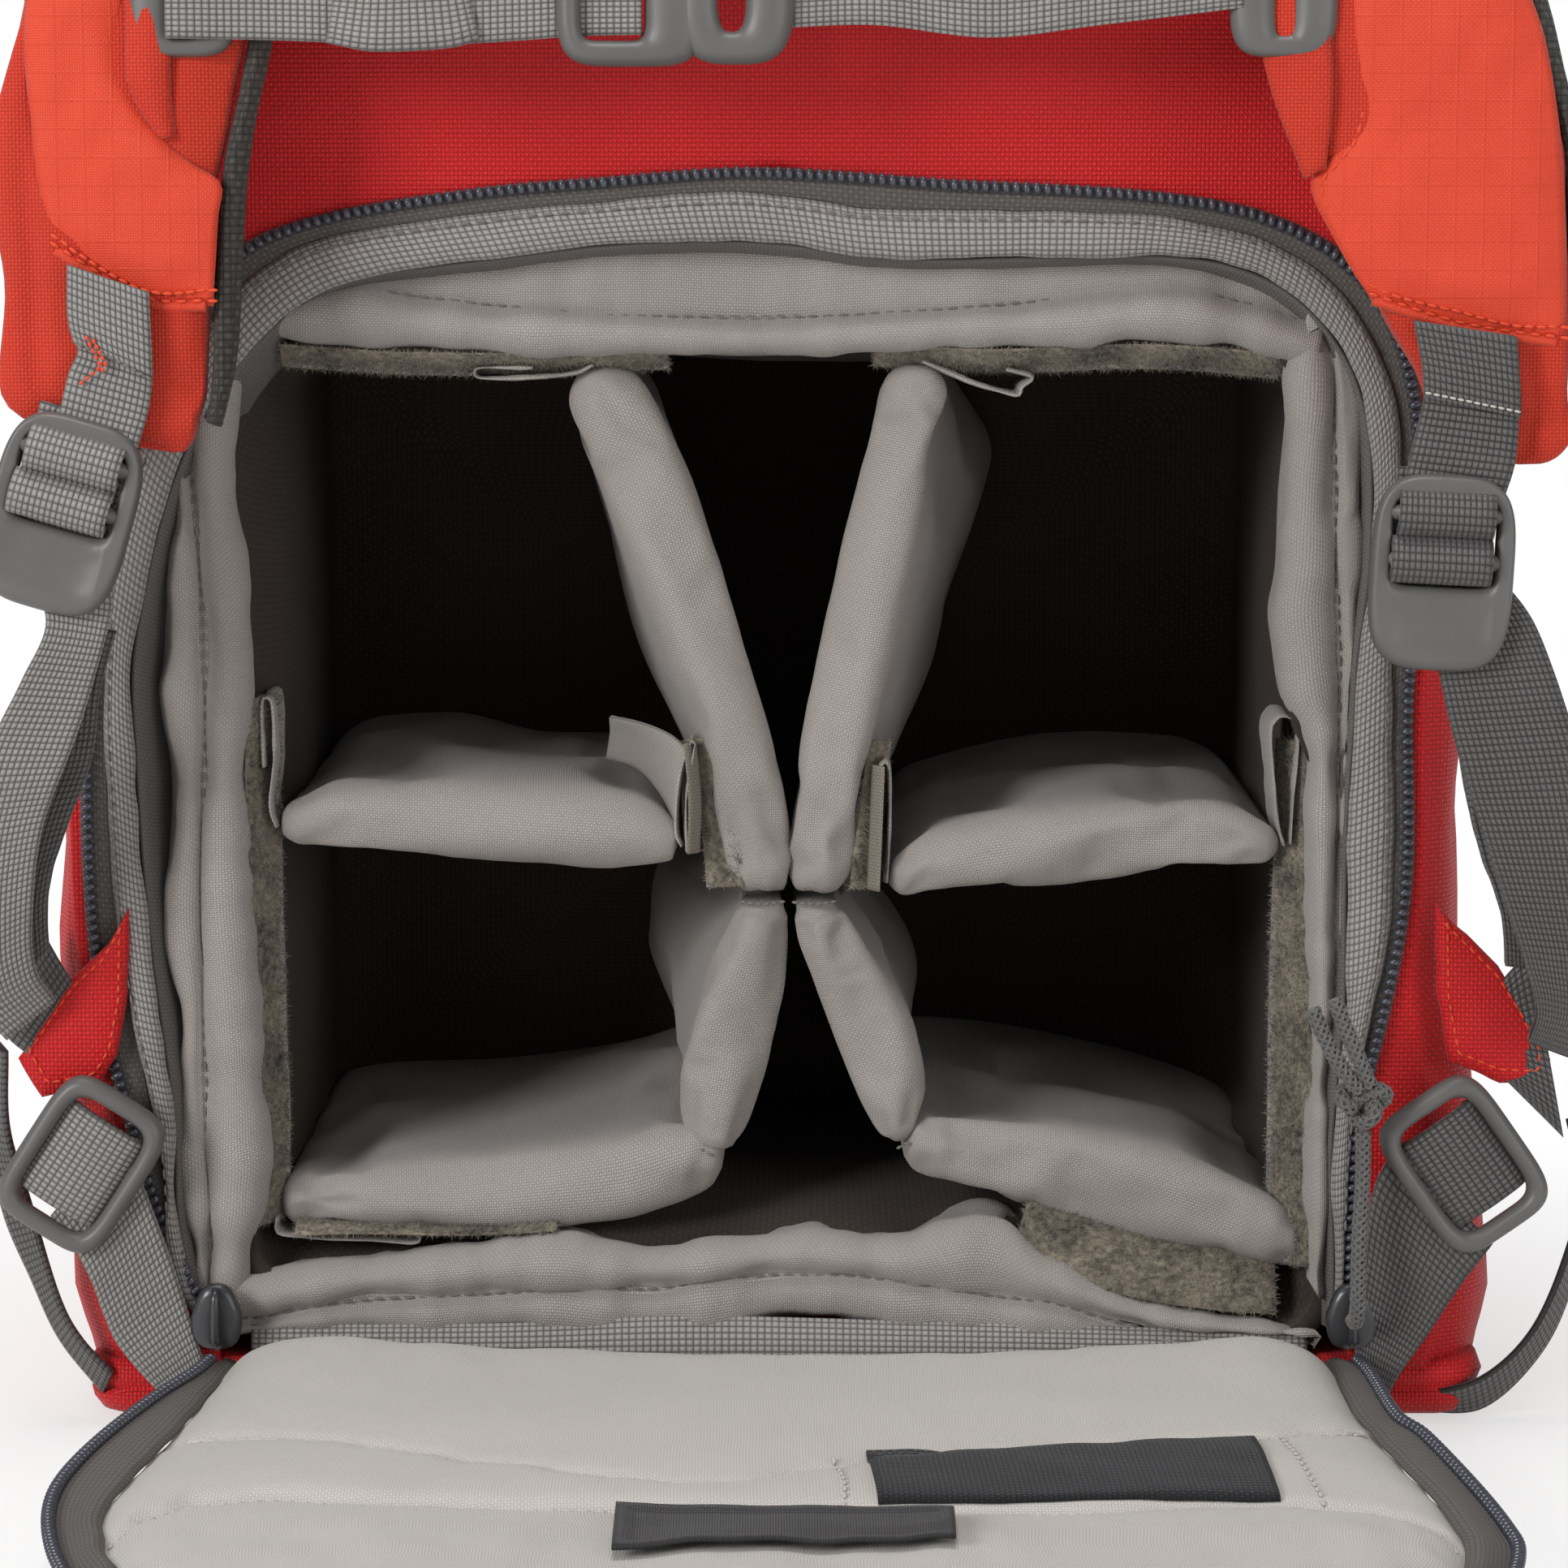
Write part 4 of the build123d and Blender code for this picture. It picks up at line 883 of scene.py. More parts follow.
# --------------------------------------------------- hook and loop of the insert
# Brown-grey loop tape sewn round the bays, its pile combed up by use, and hook
# tabs of folded lining that hold the dividers and shelves to it.
loop_pile, tree, shader = new_material("nylon_loop_pile_taupe")
place = add(tree, "ShaderNodeTexCoord")
tuft = add(tree, "ShaderNodeTexNoise", {"Vector": place.outputs["Object"], "Scale": 700.0, "Detail": 3.0})
patch = add(tree, "ShaderNodeTexNoise", {"Vector": place.outputs["Object"], "Scale": 90.0, "Detail": 2.0})
both = add(tree, "ShaderNodeMath", {0: tuft, 1: patch}, operation="ADD")
spread = add(tree, "ShaderNodeMath", {0: both, 1: 1.7, 2: -1.2}, operation="MULTIPLY_ADD", use_clamp=True)
tint = add(tree, "ShaderNodeMix", {0: spread, 6: linear("#3B362F"), 7: linear("#938977")}, data_type="RGBA")
feed(tree, shader, {"Base Color": tint.outputs[2], "Roughness": 0.95, "Sheen Weight": 0.5})


def pile_tree():
    """Geometry Nodes: fibres stood on every face, leaning at random."""
    tree, given, end = tree_of_nodes(
        "pile_on_faces",
        (("Tape", "Geometry"), ("Density", "Float"), ("Length", "Float"), ("Thickness", "Float"),
         ("Lean", "Float"), ("Seed", "Int"), ("Finish", "Material")))
    spots = add(tree, "GeometryNodeDistributePointsOnFaces", {
        "Mesh": given.outputs["Tape"], "Density": given.outputs["Density"], "Seed": given.outputs["Seed"]})
    fibre = add(
        tree, "GeometryNodeMeshCone",
        {"Vertices": 3, "Radius Top": 0.0, "Radius Bottom": given.outputs["Thickness"],
         "Depth": given.outputs["Length"]},
        fill_type="NONE")
    low = add(tree, "ShaderNodeMath", {0: given.outputs["Lean"], 1: -1.0}, operation="MULTIPLY")
    side_low = add(tree, "ShaderNodeCombineXYZ", {0: low, 1: low, 2: -3.1})
    side_high = add(
        tree, "ShaderNodeCombineXYZ", {0: given.outputs["Lean"], 1: given.outputs["Lean"], 2: 3.1})
    tilt = add(tree, "FunctionNodeRandomValue", {
        0: side_low, 1: side_high, "Seed": given.outputs["Seed"]}, data_type="FLOAT_VECTOR")
    leaning = add(
        tree, "FunctionNodeRotateRotation", {0: spots.outputs["Rotation"], 1: tilt}, rotation_space="LOCAL")
    long = add(
        tree, "FunctionNodeRandomValue", {2: 0.5, 3: 1.3, "Seed": given.outputs["Seed"]}, data_type="FLOAT")
    stood = add(tree, "GeometryNodeInstanceOnPoints", {
        "Points": spots, "Instance": fibre, "Rotation": leaning, "Scale": long.outputs[1]})
    real = add(tree, "GeometryNodeRealizeInstances", {0: stood})
    whole = add(tree, "GeometryNodeJoinGeometry")
    tree.links.new(real.outputs[0], whole.inputs[0])
    tree.links.new(given.outputs["Tape"], whole.inputs[0])
    return end(whole)


pile = pile_tree()


def with_pile(piece, density, length, seed, finish):
    """The piece with fibres on it, density of them in a square millimetre, as one plain mesh."""
    return baked(piece, pile, {
        "Density": density * 1e6, "Length": length * mm, "Thickness": 0.11 * mm, "Lean": 0.9, "Seed": seed,
        "Finish": finish})


def ribbon(name, line, way, width, thick, material, count=40, across=5, wave=0.0, seed=0.0):
    """A flat tape along points, as wide as given along a direction, with slightly rounded edges."""
    path = curve_through(line, count)
    rings = []
    for k, p in enumerate(path):
        ahead = (path[min(k + 1, count - 1)] - path[max(k - 1, 0)]).normalized()
        side = Vector(way)
        side = (side - ahead * side.dot(ahead)).normalized()
        up = ahead.cross(side)
        bend = wave * noise.noise(p * 0.05 + Vector((seed, 0, 0)))
        shares = [step / (across - 1) - 0.5 for step in range(across)]
        trims = [thick / 2 * (0.35 if abs(share) == 0.5 else 1.0) for share in shares]
        upper = [p + side * width * share + up * (trim + bend) for share, trim in zip(shares, trims)]
        lower = [p + side * width * share - up * (trim - bend) for share, trim in zip(shares, trims)]
        rings.append(upper + lower[::-1])
    return tidy_normals(loft(name, rings, material, caps=True))


# Each run of loop tape: its line, the way its width lies, its width and a seed.
loop_runs = (
    ("loop_ceiling_left",
     [(-104, -69, 223.6), (-92, -69, 222.6), (-65, -69, 221.6), (-45, -69, 221.8), (-24, -69, 222.8)],
     (0, 1, -0.42), 13, 5),
    ("loop_ceiling_right",
     [(18.7, -69, 223.6), (28.7, -69, 222.9), (42, -69, 222.4), (57, -69, 222.6), (72, -69, 223.2),
      (90, -69, 222.4), (103, -69, 221.0)], (0, 1, -0.45), 13, 6),
    ("loop_wall_left",
     [(-109.0, -69, 152.5), (-109.2, -69, 130), (-108.6, -69, 100), (-107.6, -69, 70), (-108.0, -69, 41)],
     (0.5, 1, 0), 13, 7),
    ("loop_wall_right", [(107.6, -69, 143), (107.4, -69, 110), (107.0, -69, 80), (106.8, -69, 32)],
     (-0.66, 1, 0), 15, 8),
    ("loop_floor_left", [(-103, -69, 41.0), (-85, -69, 41.0), (-66, -69, 41.2), (-48, -69, 42.0)],
     (0, 1, 0.3), 12, 9),
    ("loop_floor_right",
     [(50, -71, 40.5), (60, -71, 36.8), (74, -70.5, 32.6), (90, -70, 29.8), (104, -69, 28.6)],
     (-0.1, 0.6, 0.8), 17, 10),
    ("loop_divider_left",
     [(-17.9, -67, 143.5), (-15.4, -66.5, 133), (-13.4, -66, 123), (-12.4, -66.4, 112)], (-0.86, 0.5, -0.2),
     9, 11),
    ("loop_divider_right", [(20.4, -66, 142.7), (18.4, -66, 131), (17.2, -66, 121), (16.4, -66, 111.6)],
     (0.8, 0.6, 0.1), 6, 12))
for name, line, way, width, seed in loop_runs:
    piece = ribbon(name, line, way, width, 0.5, loop_pile, count=30, wave=0.8, seed=seed)
    piece = with_pile(piece, 3.5, 1.3, seed, loop_pile)
    place_piece(piece, "root", ("loop_strips",) if name == "loop_ceiling_left" else ())

hook_tape = woven("hook_tape_back_taupe", "#8E877B", "#5B554C", 0.7, 0.7, 0.4, 0.8, 0.1, 0.2)
# Each tab is two thicknesses of cloth, from the pinched end of a pad, along the wall that it grips.
tabs = (
    ("tab_ceiling_left",
     [(-39.5, 221.6), (-43.5, 219.8), (-53, 218.9), (-62.6, 218.8), (-64.0, 220.2), (-62, 221.0),
      (-52, 221.0)], "root"),
    ("tab_ceiling_right",
     [(28.6, 222.4), (32.6, 220.6), (39, 217.9), (46, 215.7), (48.6, 215.4), (49.2, 217), (51.4, 219.0),
      (46, 220.6)], "root"),
    ("tab_shelf_left_outer",
     [(-106.2, 125.0), (-107.4, 130), (-106.4, 140), (-106.6, 150.6), (-107.8, 152.4), (-108.9, 150.6),
      (-108.6, 138)], "left_shelf_body"),
    ("tab_shelf_left_inner",
     [(-21.4, 121.2), (-22.6, 124.5), (-22.0, 134.5), (-19.9, 142.2), (-18.6, 143.0), (-18.9, 141),
      (-20.4, 131), (-20.3, 120)], "left_shelf_body"),
    ("tab_shelf_right_inner",
     [(21.4, 113.4), (21.8, 118), (22.2, 129), (21.9, 137.6), (20.8, 138.6), (19.9, 136), (19.6, 124),
      (19.0, 112.4)], "right_shelf_body"),
    ("tab_shelf_right_outer",
     [(104.8, 121.0), (103.4, 126), (102.2, 136), (101.6, 145), (102.4, 147.6), (104.4, 148.6),
      (107.3, 145.4), (106.6, 133), (106.0, 121.4)], "right_shelf_body"),
    ("tab_foot_left",
     [(-107.2, 42.0), (-106.6, 38.6), (-98, 37.6), (-88, 37.2), (-78.5, 36.6), (-76.8, 37.8), (-80, 39.0),
      (-92, 39.4)], "root"))
for number, (name, line, body) in enumerate(tabs):
    deep = 34 if "inner" in name else 22
    path = [Vector((x, -71.5 + deep / 2, z)) for x, z in line]
    piece = ribbon(name, path, (0, 1, 0), deep, 0.9, lining_grey, count=46, across=9)
    crumple(piece, 0.4, 9, number + 1.5)
    place_piece(piece, body)
# The cloth that joins the left shelf to its inner tab opens like a pocket.
gore = rails("shelf_left_gore", [
    [(-20.2, -71, 141.6), (-24, -66, 144.2), (-30, -58, 145.6), (-37, -48, 146.0)],
    [(-21.8, -70, 134), (-25, -64, 138), (-30, -54, 141), (-37, -44, 142)],
    [(-22.6, -69, 126), (-26, -60, 131), (-31, -50, 135), (-38, -40, 136)]], lining_grey, 16, 10)
modified(gore, "SOLIDIFY", thickness=0.0008, offset=0)
place_piece(gore, "left_shelf_body")
hook_backs = (
    ("hook_on_divider_left", [(-19.6, -70.5, 143.0), (-18.6, -71.4, 131), (-18.9, -71.6, 119.8)],
     (0.5, 0.86, 0), "left_shelf_body"),
    ("hook_on_divider_right", [(19.7, -71, 138.2), (19.2, -71.4, 125), (18.7, -71.6, 112)], (-0.5, 0.86, 0),
     "right_shelf_body"))
for name, line, way, body in hook_backs:
    place_piece(ribbon(name, line, way, 5, 0.5, hook_tape, count=24), body)

# ------------------------------------------------------------ the camera door
# The back panel of the bag, laid down on the floor: pale lining inside with a
# pocket sewn across it, foam behind, and its half of the coil round the edge.
door_left = [
    (82, 116), (97, 117.5), (118, 119.5), (138, 121.5), (157, 124), (175, 126.2), (194, 127.9),
    (206, 127.4), (222, 124.5), (240, 119.5), (258, 113), (275, 105), (290, 93), (300, 82), (307, 68),
    (311, 50)]
door_right = [
    (82, 114.6), (97, 115.4), (124, 116), (142, 117.8), (160, 119.9), (178, 122.3), (194, 124.3),
    (219, 125.4), (235, 123), (250, 118.6), (266, 111), (282, 100), (296, 86), (304, 74), (309, 60),
    (311, 50)]
pocket_seam = [
    (-117, 148.5), (-99.5, 150), (-89, 152.5), (-79, 158.5), (-70, 162), (-60, 168.5), (-50.7, 171),
    (-41, 177.5), (-32, 180), (-20, 184), (-9, 184), (5, 176), (22, 168), (40, 161.5), (59, 157),
    (76, 153.6), (94, 151.4), (106, 146), (115.5, 141)]
lower_seam = [
    (-123.5, 219), (-117.4, 203.5), (-109.2, 195.5), (-97, 192.8), (-70, 196.5), (-49, 200), (0, 203),
    (56.2, 202.4), (80, 199.5), (93, 199), (106, 202), (113.3, 206.5), (119, 212.5), (123, 228)]
crest_height = [
    (-122, 18.5), (-111, 21.4), (-94, 22.2), (-75, 20.6), (-54, 18.6), (-20, 16.8), (14, 16.0), (45, 17.4),
    (75, 20.0), (100, 22.0), (112, 21.6), (118, 19)]


def groove(offset, width, depth):
    """The dip of a sewn line at a distance from it."""
    return -depth * exp(-((offset / width) ** 2))


def door_height(x, y, edge):
    """The height of the lining at a point, where edge is how near the side is."""
    seam_y, low_y = between(pocket_seam, x), between(lower_seam, x)
    crest = between(crest_height, x) - 15.5
    if y > 93:
        near = exp(-(((y - 93) / 17) ** 2)) * crest
    else:
        near = crest * min(1.0, max(0.0, (y - 81.5) / 11.5)) ** 0.5
    z = 15.5 + near
    rise = 1.8 * sin(pi * min(1, max(0, (y - 100) / (seam_y - 100))))
    rise += 1.6 * sin(pi * min(1, max(0, (y - seam_y) / max(low_y - seam_y, 8)))) ** 0.6
    swell = min(1.0, max(0.0, (y - low_y) / 26))
    broad = noise.noise(Vector((x * 0.035, y * 0.012, 2.0)))
    narrow = noise.noise(Vector((x * 0.09, y * 0.03, 5.0)))
    rise += swell * (2.4 + 2.3 * broad + 0.8 * narrow)
    rise += groove(y - seam_y, 2.2, 1.5) + groove(y - low_y, 2.4, 1.4)
    rise += 0.6 * noise.noise(
        Vector((x * 0.03, y * 0.05, 7.7))) + 0.28 * noise.noise(Vector((x * 0.11, y * 0.09, 1.1)))
    tuck = 1 - exp(-edge / 5.5)
    far = min(1.0, (311 - y) / 12)
    return 11.5 + (z + rise - 11.5) * tuck * max(0.0, far) ** 0.5 * min(1.0, (y - 79.8) / 5) ** 0.5


door_lining = woven("door_lining_pale", "#CDC9C3", "#A39E98", 0.62, 0.62, 0.45, 0.5, 0.3, 0.1)
rings = []
rows, columns = 116, 125
for row in range(rows):
    y = 80.6 + 230.2 * row / (rows - 1)
    low, high = -between(door_left, y), between(door_right, y)
    ring = []
    for k in range(columns):
        share = k / (columns - 1)
        x = low + (high - low) * (0.5 - 0.5 * cos(pi * share)) * 0.35 + (high - low) * share * 0.65
        ring.append(Vector((x, -y, door_height(x, y, min(x - low, high - x)))))
    ring += [Vector((x, -y, 6.2)) for x in (high - 0.6, high * 0.6, 0, low * 0.6, low + 0.6)]
    rings.append(ring)
lining = tidy_normals(loft("door_lining", rings, door_lining, caps=True))
place_piece(lining, "door", ("door_panel",))

back_mesh = woven("spacer_mesh_charcoal", "#4C4A48", "#1F1E1D", 2.4, 2.4, 1.0, 0.9, 0.1, 0.1)
rings = []
for inset, z in ((34, 0.9), (10, 0.9), (4, 1.8), (1.4, 3.6), (1.0, 5.4), (2.5, 6.4), (20, 6.6)):
    ring = []
    near, far = 83 + inset * 0.6, 308 - inset * 0.6
    for k in range(60):
        y = 84 + 223 * k / 59
        ring.append(Vector((-between(door_left, y) + inset, -max(near, min(far, y)), z)))
    for k in range(60):
        y = 307 - 223 * k / 59
        ring.append(Vector((between(door_right, y) - inset, -max(near, min(far, y)), z)))
    rings.append(ring)
door_foam = box_map(tidy_normals(loft("door_back_padding", rings, back_mesh, caps=True)))
place_piece(door_foam, "door", ("door_back_pad",))

door_coil_line = [
    (-119.6, -88), (-121.8, -100), (-126.9, -119), (-133.4, -152), (-137.2, -177), (-136.9, -196.5),
    (-133, -219), (-127, -240), (-119, -260), (-108, -280), (-94, -298), (-74, -311), (-45, -318),
    (0, -320.5), (45, -318), (74, -311), (95, -298), (110, -280), (121, -260), (129, -240), (133.2, -221),
    (133.4, -208), (131.0, -185), (125.6, -150), (121.9, -134), (120.7, -100), (119.6, -88)]


def door_drop(y):
    """The coil hangs lower past the widest part of the door."""
    return 15.6 - 2.6 * min(1.0, max(0.0, (-y - 150) / 60))


coil_run = [Vector((x, y, door_drop(y))) for x, y in door_coil_line]
place_piece(
    beads_along("door_coil", [curve_through(coil_run, 240)], 2.1, (1.9, 3.1, 2.6), coil_nylon,
        facing=(0, 0, 1), turn=0.25),
    "door", ("door_zip",))
inner_run = [(-between(door_left, 82 + 229 * k / 24) + 1.5, -(82 + 229 * k / 24)) for k in range(25)]
inner_run += [(-20, -311.5), (20, -311.5)]
inner_run += [(between(door_right, 311 - 229 * k / 24) - 1.5, -(311 - 229 * k / 24)) for k in range(25)]
door_tape = rails("door_tape", [
    [Vector((x, y, 13.2)) for x, y in inner_run],
    [Vector((x * 1.02, y * 1.004, 14.4)) for x, y in inner_run],
    [Vector((p.x * 0.985, p.y * 0.995, p.z - 0.7)) for p in coil_run],
    [Vector((p.x, p.y, p.z - 1.3)) for p in coil_run]], zip_tape, 220, 11)
modified(door_tape, "SOLIDIFY", thickness=0.0006, offset=0)
place_piece(door_tape, "door")

# Across the lining: a flat pocket, its folded edge, two sewn ends, a plain patch
# of black loop fabric and a plain woven label.
pale_thread = plain("polyester_thread_pale", "#B9B4AD", 0.65)


def on_door(x, y, lift=0.0):
    """A point on the lining, raised a little."""
    return Vector(
        (x, -y, door_height(x, y, min(x + between(door_left, y), between(door_right, y) - x)) + lift))


welt = [on_door(x, between(pocket_seam, x) + 0.7 * sin(x * 0.9) * noise.noise(Vector((x * 0.1, 0, 3))), 0.6)
        for x in (-117 + 232 * k / 230 for k in range(231))]
rings = []
for k, p in enumerate(welt):
    size = 0.85 + 0.25 * noise.noise(Vector((k * 0.21, 4, 0)))
    rings.append(
        [p + Vector((0, cos(a) * size * 1.25, sin(a) * size)) for a in (2 * pi * j / 8 for j in range(8))])
pocket_welt = tidy_normals(loft("pocket_welt", rings, door_lining, caps=True))
place_piece(pocket_welt, "door", ("door_pocket",))
place_piece(beads_along("door_stitches", [
    [on_door(x, between(pocket_seam, x) + 1.6, 0.35) for x in (-115 + 2.0 * k for k in range(115))],
    [on_door(x, between(lower_seam, x), 0.4) for x in (-122.5 + 2.0 * k for k in range(123))],
    [on_door(10.5 - 0.9 * cos(k * 0.2), 171 + 1.5 * k, 0.3) for k in range(21)],
    [on_door(96.5 + 0.12 * k, 152 + 1.5 * k, 0.3) for k in range(32)]],
    3.1, (2.3, 0.75, 0.7), pale_thread, facing=(0, 0, 1)), "door")
black_loop = woven("loop_fabric_black", "#26262A", "#0D0D0F", 1.0, 0.8, 0.8, 0.95, 0.15, 0.25)
black_satin = woven("woven_label_black", "#2B2B2D", "#121213", 0.5, 0.7, 0.6, 0.6, 0.2, 0.15)


def laid(name, corners, lift, material, edge=0.0):
    """A flat piece laid on the lining between four corners, its rim raised by edge."""
    a, b, c, d = (Vector((x, y, 0)) for x, y in corners)
    nx, ny = 40, 16
    rings = []
    for j in range(ny):
        v = j / (ny - 1)
        ring = []
        for i in range(nx):
            u = i / (nx - 1)
            spot = a.lerp(b, u).lerp(d.lerp(c, u), v)
            rim_lift = edge if min(u * nx, (1 - u) * nx, v * ny, (1 - v) * ny) < 1.6 else 0.0
            ring.append(on_door(spot.x, spot.y, lift + rim_lift))
        rings.append(ring)
    piece = loft(name, rings, material, closed=False, flip=True)
    modified(piece, "SOLIDIFY", thickness=0.0007, offset=0)
    return place_piece(piece, "door")


laid("loop_patch", ((15.8, 165.4), (91.5, 154.5), (92.5, 197.0), (17.5, 200.6)), 0.5, black_loop)
laid("plain_label", ((-31, 206), (31.0, 214.5), (30.6, 238), (-30.5, 243)), 1.5, black_satin, edge=0.7)

# ---------------------------------------------------- the lid and the far pocket
# The lid is a cap of the same polyester over foam, with a piped seam. On the far
# side a flat pocket is sewn on all round and closed by its own zip.
rings = []
for share, z in (
        (0.0, 431.2), (0.2, 432.0), (0.6, 434.5), (0.95, 440), (1.0, 447), (0.97, 453), (0.85, 458),
        (0.55, 460.6), (0.2, 461)):
    inset = 5 * (1 - share) if z < 440 else (0 if z < 448 else (z - 447) ** 1.7 * 0.16)
    inset += {458: 3, 460.6: 28, 461: 62}.get(z, 0)
    ring = [Vector((p.x * 0.985, p.y * 0.985, z)) for p in plan_loop(inset + 0.8, z, 26, 30)]
    rings.append(ring)
rings.append([Vector((p.x * 0.94, p.y * 0.5, 461.2)) for p in rings[-1]])
rings.append([Vector((p.x * 0.97, p.y * 0.06, 461.3)) for p in rings[-1]])
lid = box_map(tidy_normals(loft("lid_shell", rings, shaded_red_cloth, caps=True)))
crumple(lid, 0.8, 40, 6.6)
place_piece(lid, "lid", ("top_lid",))
piping = plain("piping_cord_grey", "#55524F", 0.7)


def swept(line):
    """Each point of a line with two directions across it, which turn as little as they can."""
    frames, side = [], None
    for k, p in enumerate(line):
        ahead = (line[min(k + 1, len(line) - 1)] - line[max(k - 1, 0)]).normalized()
        side = ahead.orthogonal().normalized() if side is None else (
            side - ahead * side.dot(ahead)).normalized()
        frames.append((p, side, ahead.cross(side)))
    return frames


def tube(name, line, radius, material, count=120, sides=8):
    """A round tube through points."""
    turns = [2 * pi * j / sides for j in range(sides)]
    rings = [[p + side * cos(a) * radius + up * sin(a) * radius for a in turns]
             for p, side, up in swept(curve_through(line, count))]
    return tidy_normals(loft(name, rings, material, caps=True))


hinge_cloth = rails(
    "lid_hinge_cloth",
    [[(-112, y, z), (-60, y, z), (0, y, z), (60, y, z), (112, y, z)] for y,
     z in ((-76.6, 420), (-77.4, 426), (-77.6, 430), (-75.5, 431.4), (-70, 431.4), (-62, 431.2))],
    shaded_red_cloth, 60, 24)
modified(hinge_cloth, "SOLIDIFY", thickness=0.0008, offset=0)
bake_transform(hinge_cloth)
loop = [p for p in plan_loop(3.6, 440.4, 26, 30)][::6]
place_piece(tube("lid_piping", [*loop, loop[0]], 1.3, piping, 260), "lid")
zip_run = [Vector((p.x * 0.99, p.y * 0.99, 431.7)) for p in plan_loop(2.0, 0, 26, 30)]
back_run = [p for p in zip_run if p.y > -60]
turn_at = next(
    k for k, (p, q) in enumerate(zip(back_run, back_run[1:] + back_run[:1])) if (q - p).length > 40)
back_run = back_run[turn_at + 1 :] + back_run[: turn_at + 1]
place_piece(
    beads_along("lid_coil", [curve_through(back_run, 300)], 2.1, (1.9, 2.8, 2.2), coil_nylon,
        facing=(0, 0, 1), turn=0.25),
    "root", ("body_zips",))

rings = []
for inset, y in (
        (0, 79.5), (0, 84), (-0.8, 90), (-0.6, 95), (1.6, 99), (5, 101.4), (14, 103), (30, 104),
        (54, 104.4), (80, 104.6)):
    wide, low, high, r = 108 - inset, 40 + inset, 320 - inset, max(4, 26 - inset)
    left, right, foot, head = -wide + r, wide - r, low + r, high - r
    corners = ((right, head, r, 0), (left, head, r, 90), (left, foot, r, 180), (right, foot, r, 270))
    rings.append(filled(cornered(corners, 15, lambda x, z: Vector((x, y, z))), 7, 12))
pocket = box_map(tidy_normals(loft("front_pocket_shell", rings, shaded_red_cloth, caps=True)))
modified(pocket, "SUBSURF", levels=1, render_levels=1)
crumple(pocket, 1.4, 46, 4.4, lambda p: min(1.0, max(0.0, (p.y - 82) / 10)))
place_piece(pocket, "root", ("front_pocket",))
place_piece(
    beads_along("pocket_coil", [[(-92 + 4 * k, 104.7, 286) for k in range(47)]], 2.1, (1.9, 2.8, 2.2),
        coil_nylon, facing=(0, 1, 0), turn=0.25),
    "root")
place_piece(
    ribbon("pocket_tape", [(-96, 104.2, 286), (0, 104.4, 286), (96, 104.2, 286)], (0, 0, 1), 15, 0.7,
        zip_tape),
    "root")

# ------------------------------------------------------------ yoke and handle
# A stiffened yoke that both shoulder straps are sewn to, and a webbing handle
# round a soft core.
yoke_rings = []
for inset, y in ((0.5, -79.6), (0.3, -81.5), (1.2, -83.4), (4, -84.2), (12, -84.8)):
    r, drawn = 8 - inset * 0.5, inset * 0.5
    corners = ((92, 423, r, 0), (-92, 423, r, 90), (-92, 401, r, 180), (92, 401, r, 270))
    ring = cornered(corners, 15, lambda x, z: Vector((
        x - (drawn if x > 0 else -drawn), y, z - (drawn if z > 412 else -drawn))))
    yoke_rings.append(filled(ring, 7, 12))
webbing_light = woven(
    "webbing_polyester_grey", "#9A9794", "#454341", 1.15, 1.45, 1.0, 0.5, 0.2, 0.1, turn=0.0)
# A darker copy of the same grey webbing, for webbing that lies in shadow on the right side and in the loops
# and tails: painted shade.
shaded_webbing = woven(
    "webbing_polyester_grey_painted_shade", "#666463", "#232222", 1.15, 1.45, 1.0, 0.48, 0.2, 0.1, turn=0.0)
yoke = box_map(tidy_normals(loft("yoke_pad", yoke_rings, shaded_red_cloth, caps=True)))
place_piece(yoke, "root", ("harness_yoke",))
place_piece(
    ribbon("handle_webbing",
        [(-37, -83.4, 414), (-36.5, -92, 414), (-34, -104, 414), (-26, -107.6, 414), (0, -108.2, 414),
         (26, -107.6, 414), (34, -104, 414), (36.5, -92, 414), (37, -83.4, 414)], (0, 0, 1), 21, 3.4,
        webbing_light, count=70),
    "root", ("grab_handle",))

# ------------------------------------------------------------ the shoulder straps
# Foam between 600 denier cloth and a dark mesh, faced with an orange ripstop
# pocket that ends in a doubled zigzag seam. They part from the yoke and hang clear.
# The straps' 600 denier is the shell's cloth drawn in a brighter orange, as it looks in direct light: painted
# light.
lit_strap_cloth = woven("polyester_600_denier_orange_painted_light", "#E03C22", "#9C2010", 0.72, 0.72, 0.85, 0.7, 0.15, 0.14)
ripstop = woven("nylon_ripstop_orange", "#E54A2C", "#C43418", 0.5, 0.5, 0.5, 0.5, 0.2, 0.14, grid=5.5)
edge_mesh = woven("spacer_mesh_edge", "#55524D", "#191816", 1.5, 1.5, 1.4, 0.9, 0.1, 0.2)
orange_thread = plain("polyester_thread_orange", "#D8451F", 0.6)
strap_mid = [(352, -107.0), (402, -88.6)]
strap_bounds = {
    "left": (
        [(205.6, -122.5), (208, -133), (211, -146), (214, -153.4), (219, -156), (240, -156), (262, -157.6),
         (305, -149.5), (362, -121.5), (425, -86.5)],
        [(205.6, -119.5), (208, -116.6), (212, -115.2), (218, -113.4), (232, -112.6), (252, -111.8),
         (262, -110), (274, -107.2), (285, -104.8), (305, -99), (362, -70.5), (425, -41)]),
    "right": (
        [(203, 143), (205.5, 134.5), (210, 130), (216, 126.6), (236, 116.2), (258, 103.4), (280, 96),
         (305, 88), (362, 64.5), (425, 40.5)],
        [(203, 151), (205.5, 155.6), (210, 157.4), (222, 157.2), (262, 155), (305, 142.6), (362, 115.6),
         (425, 85.5)])}
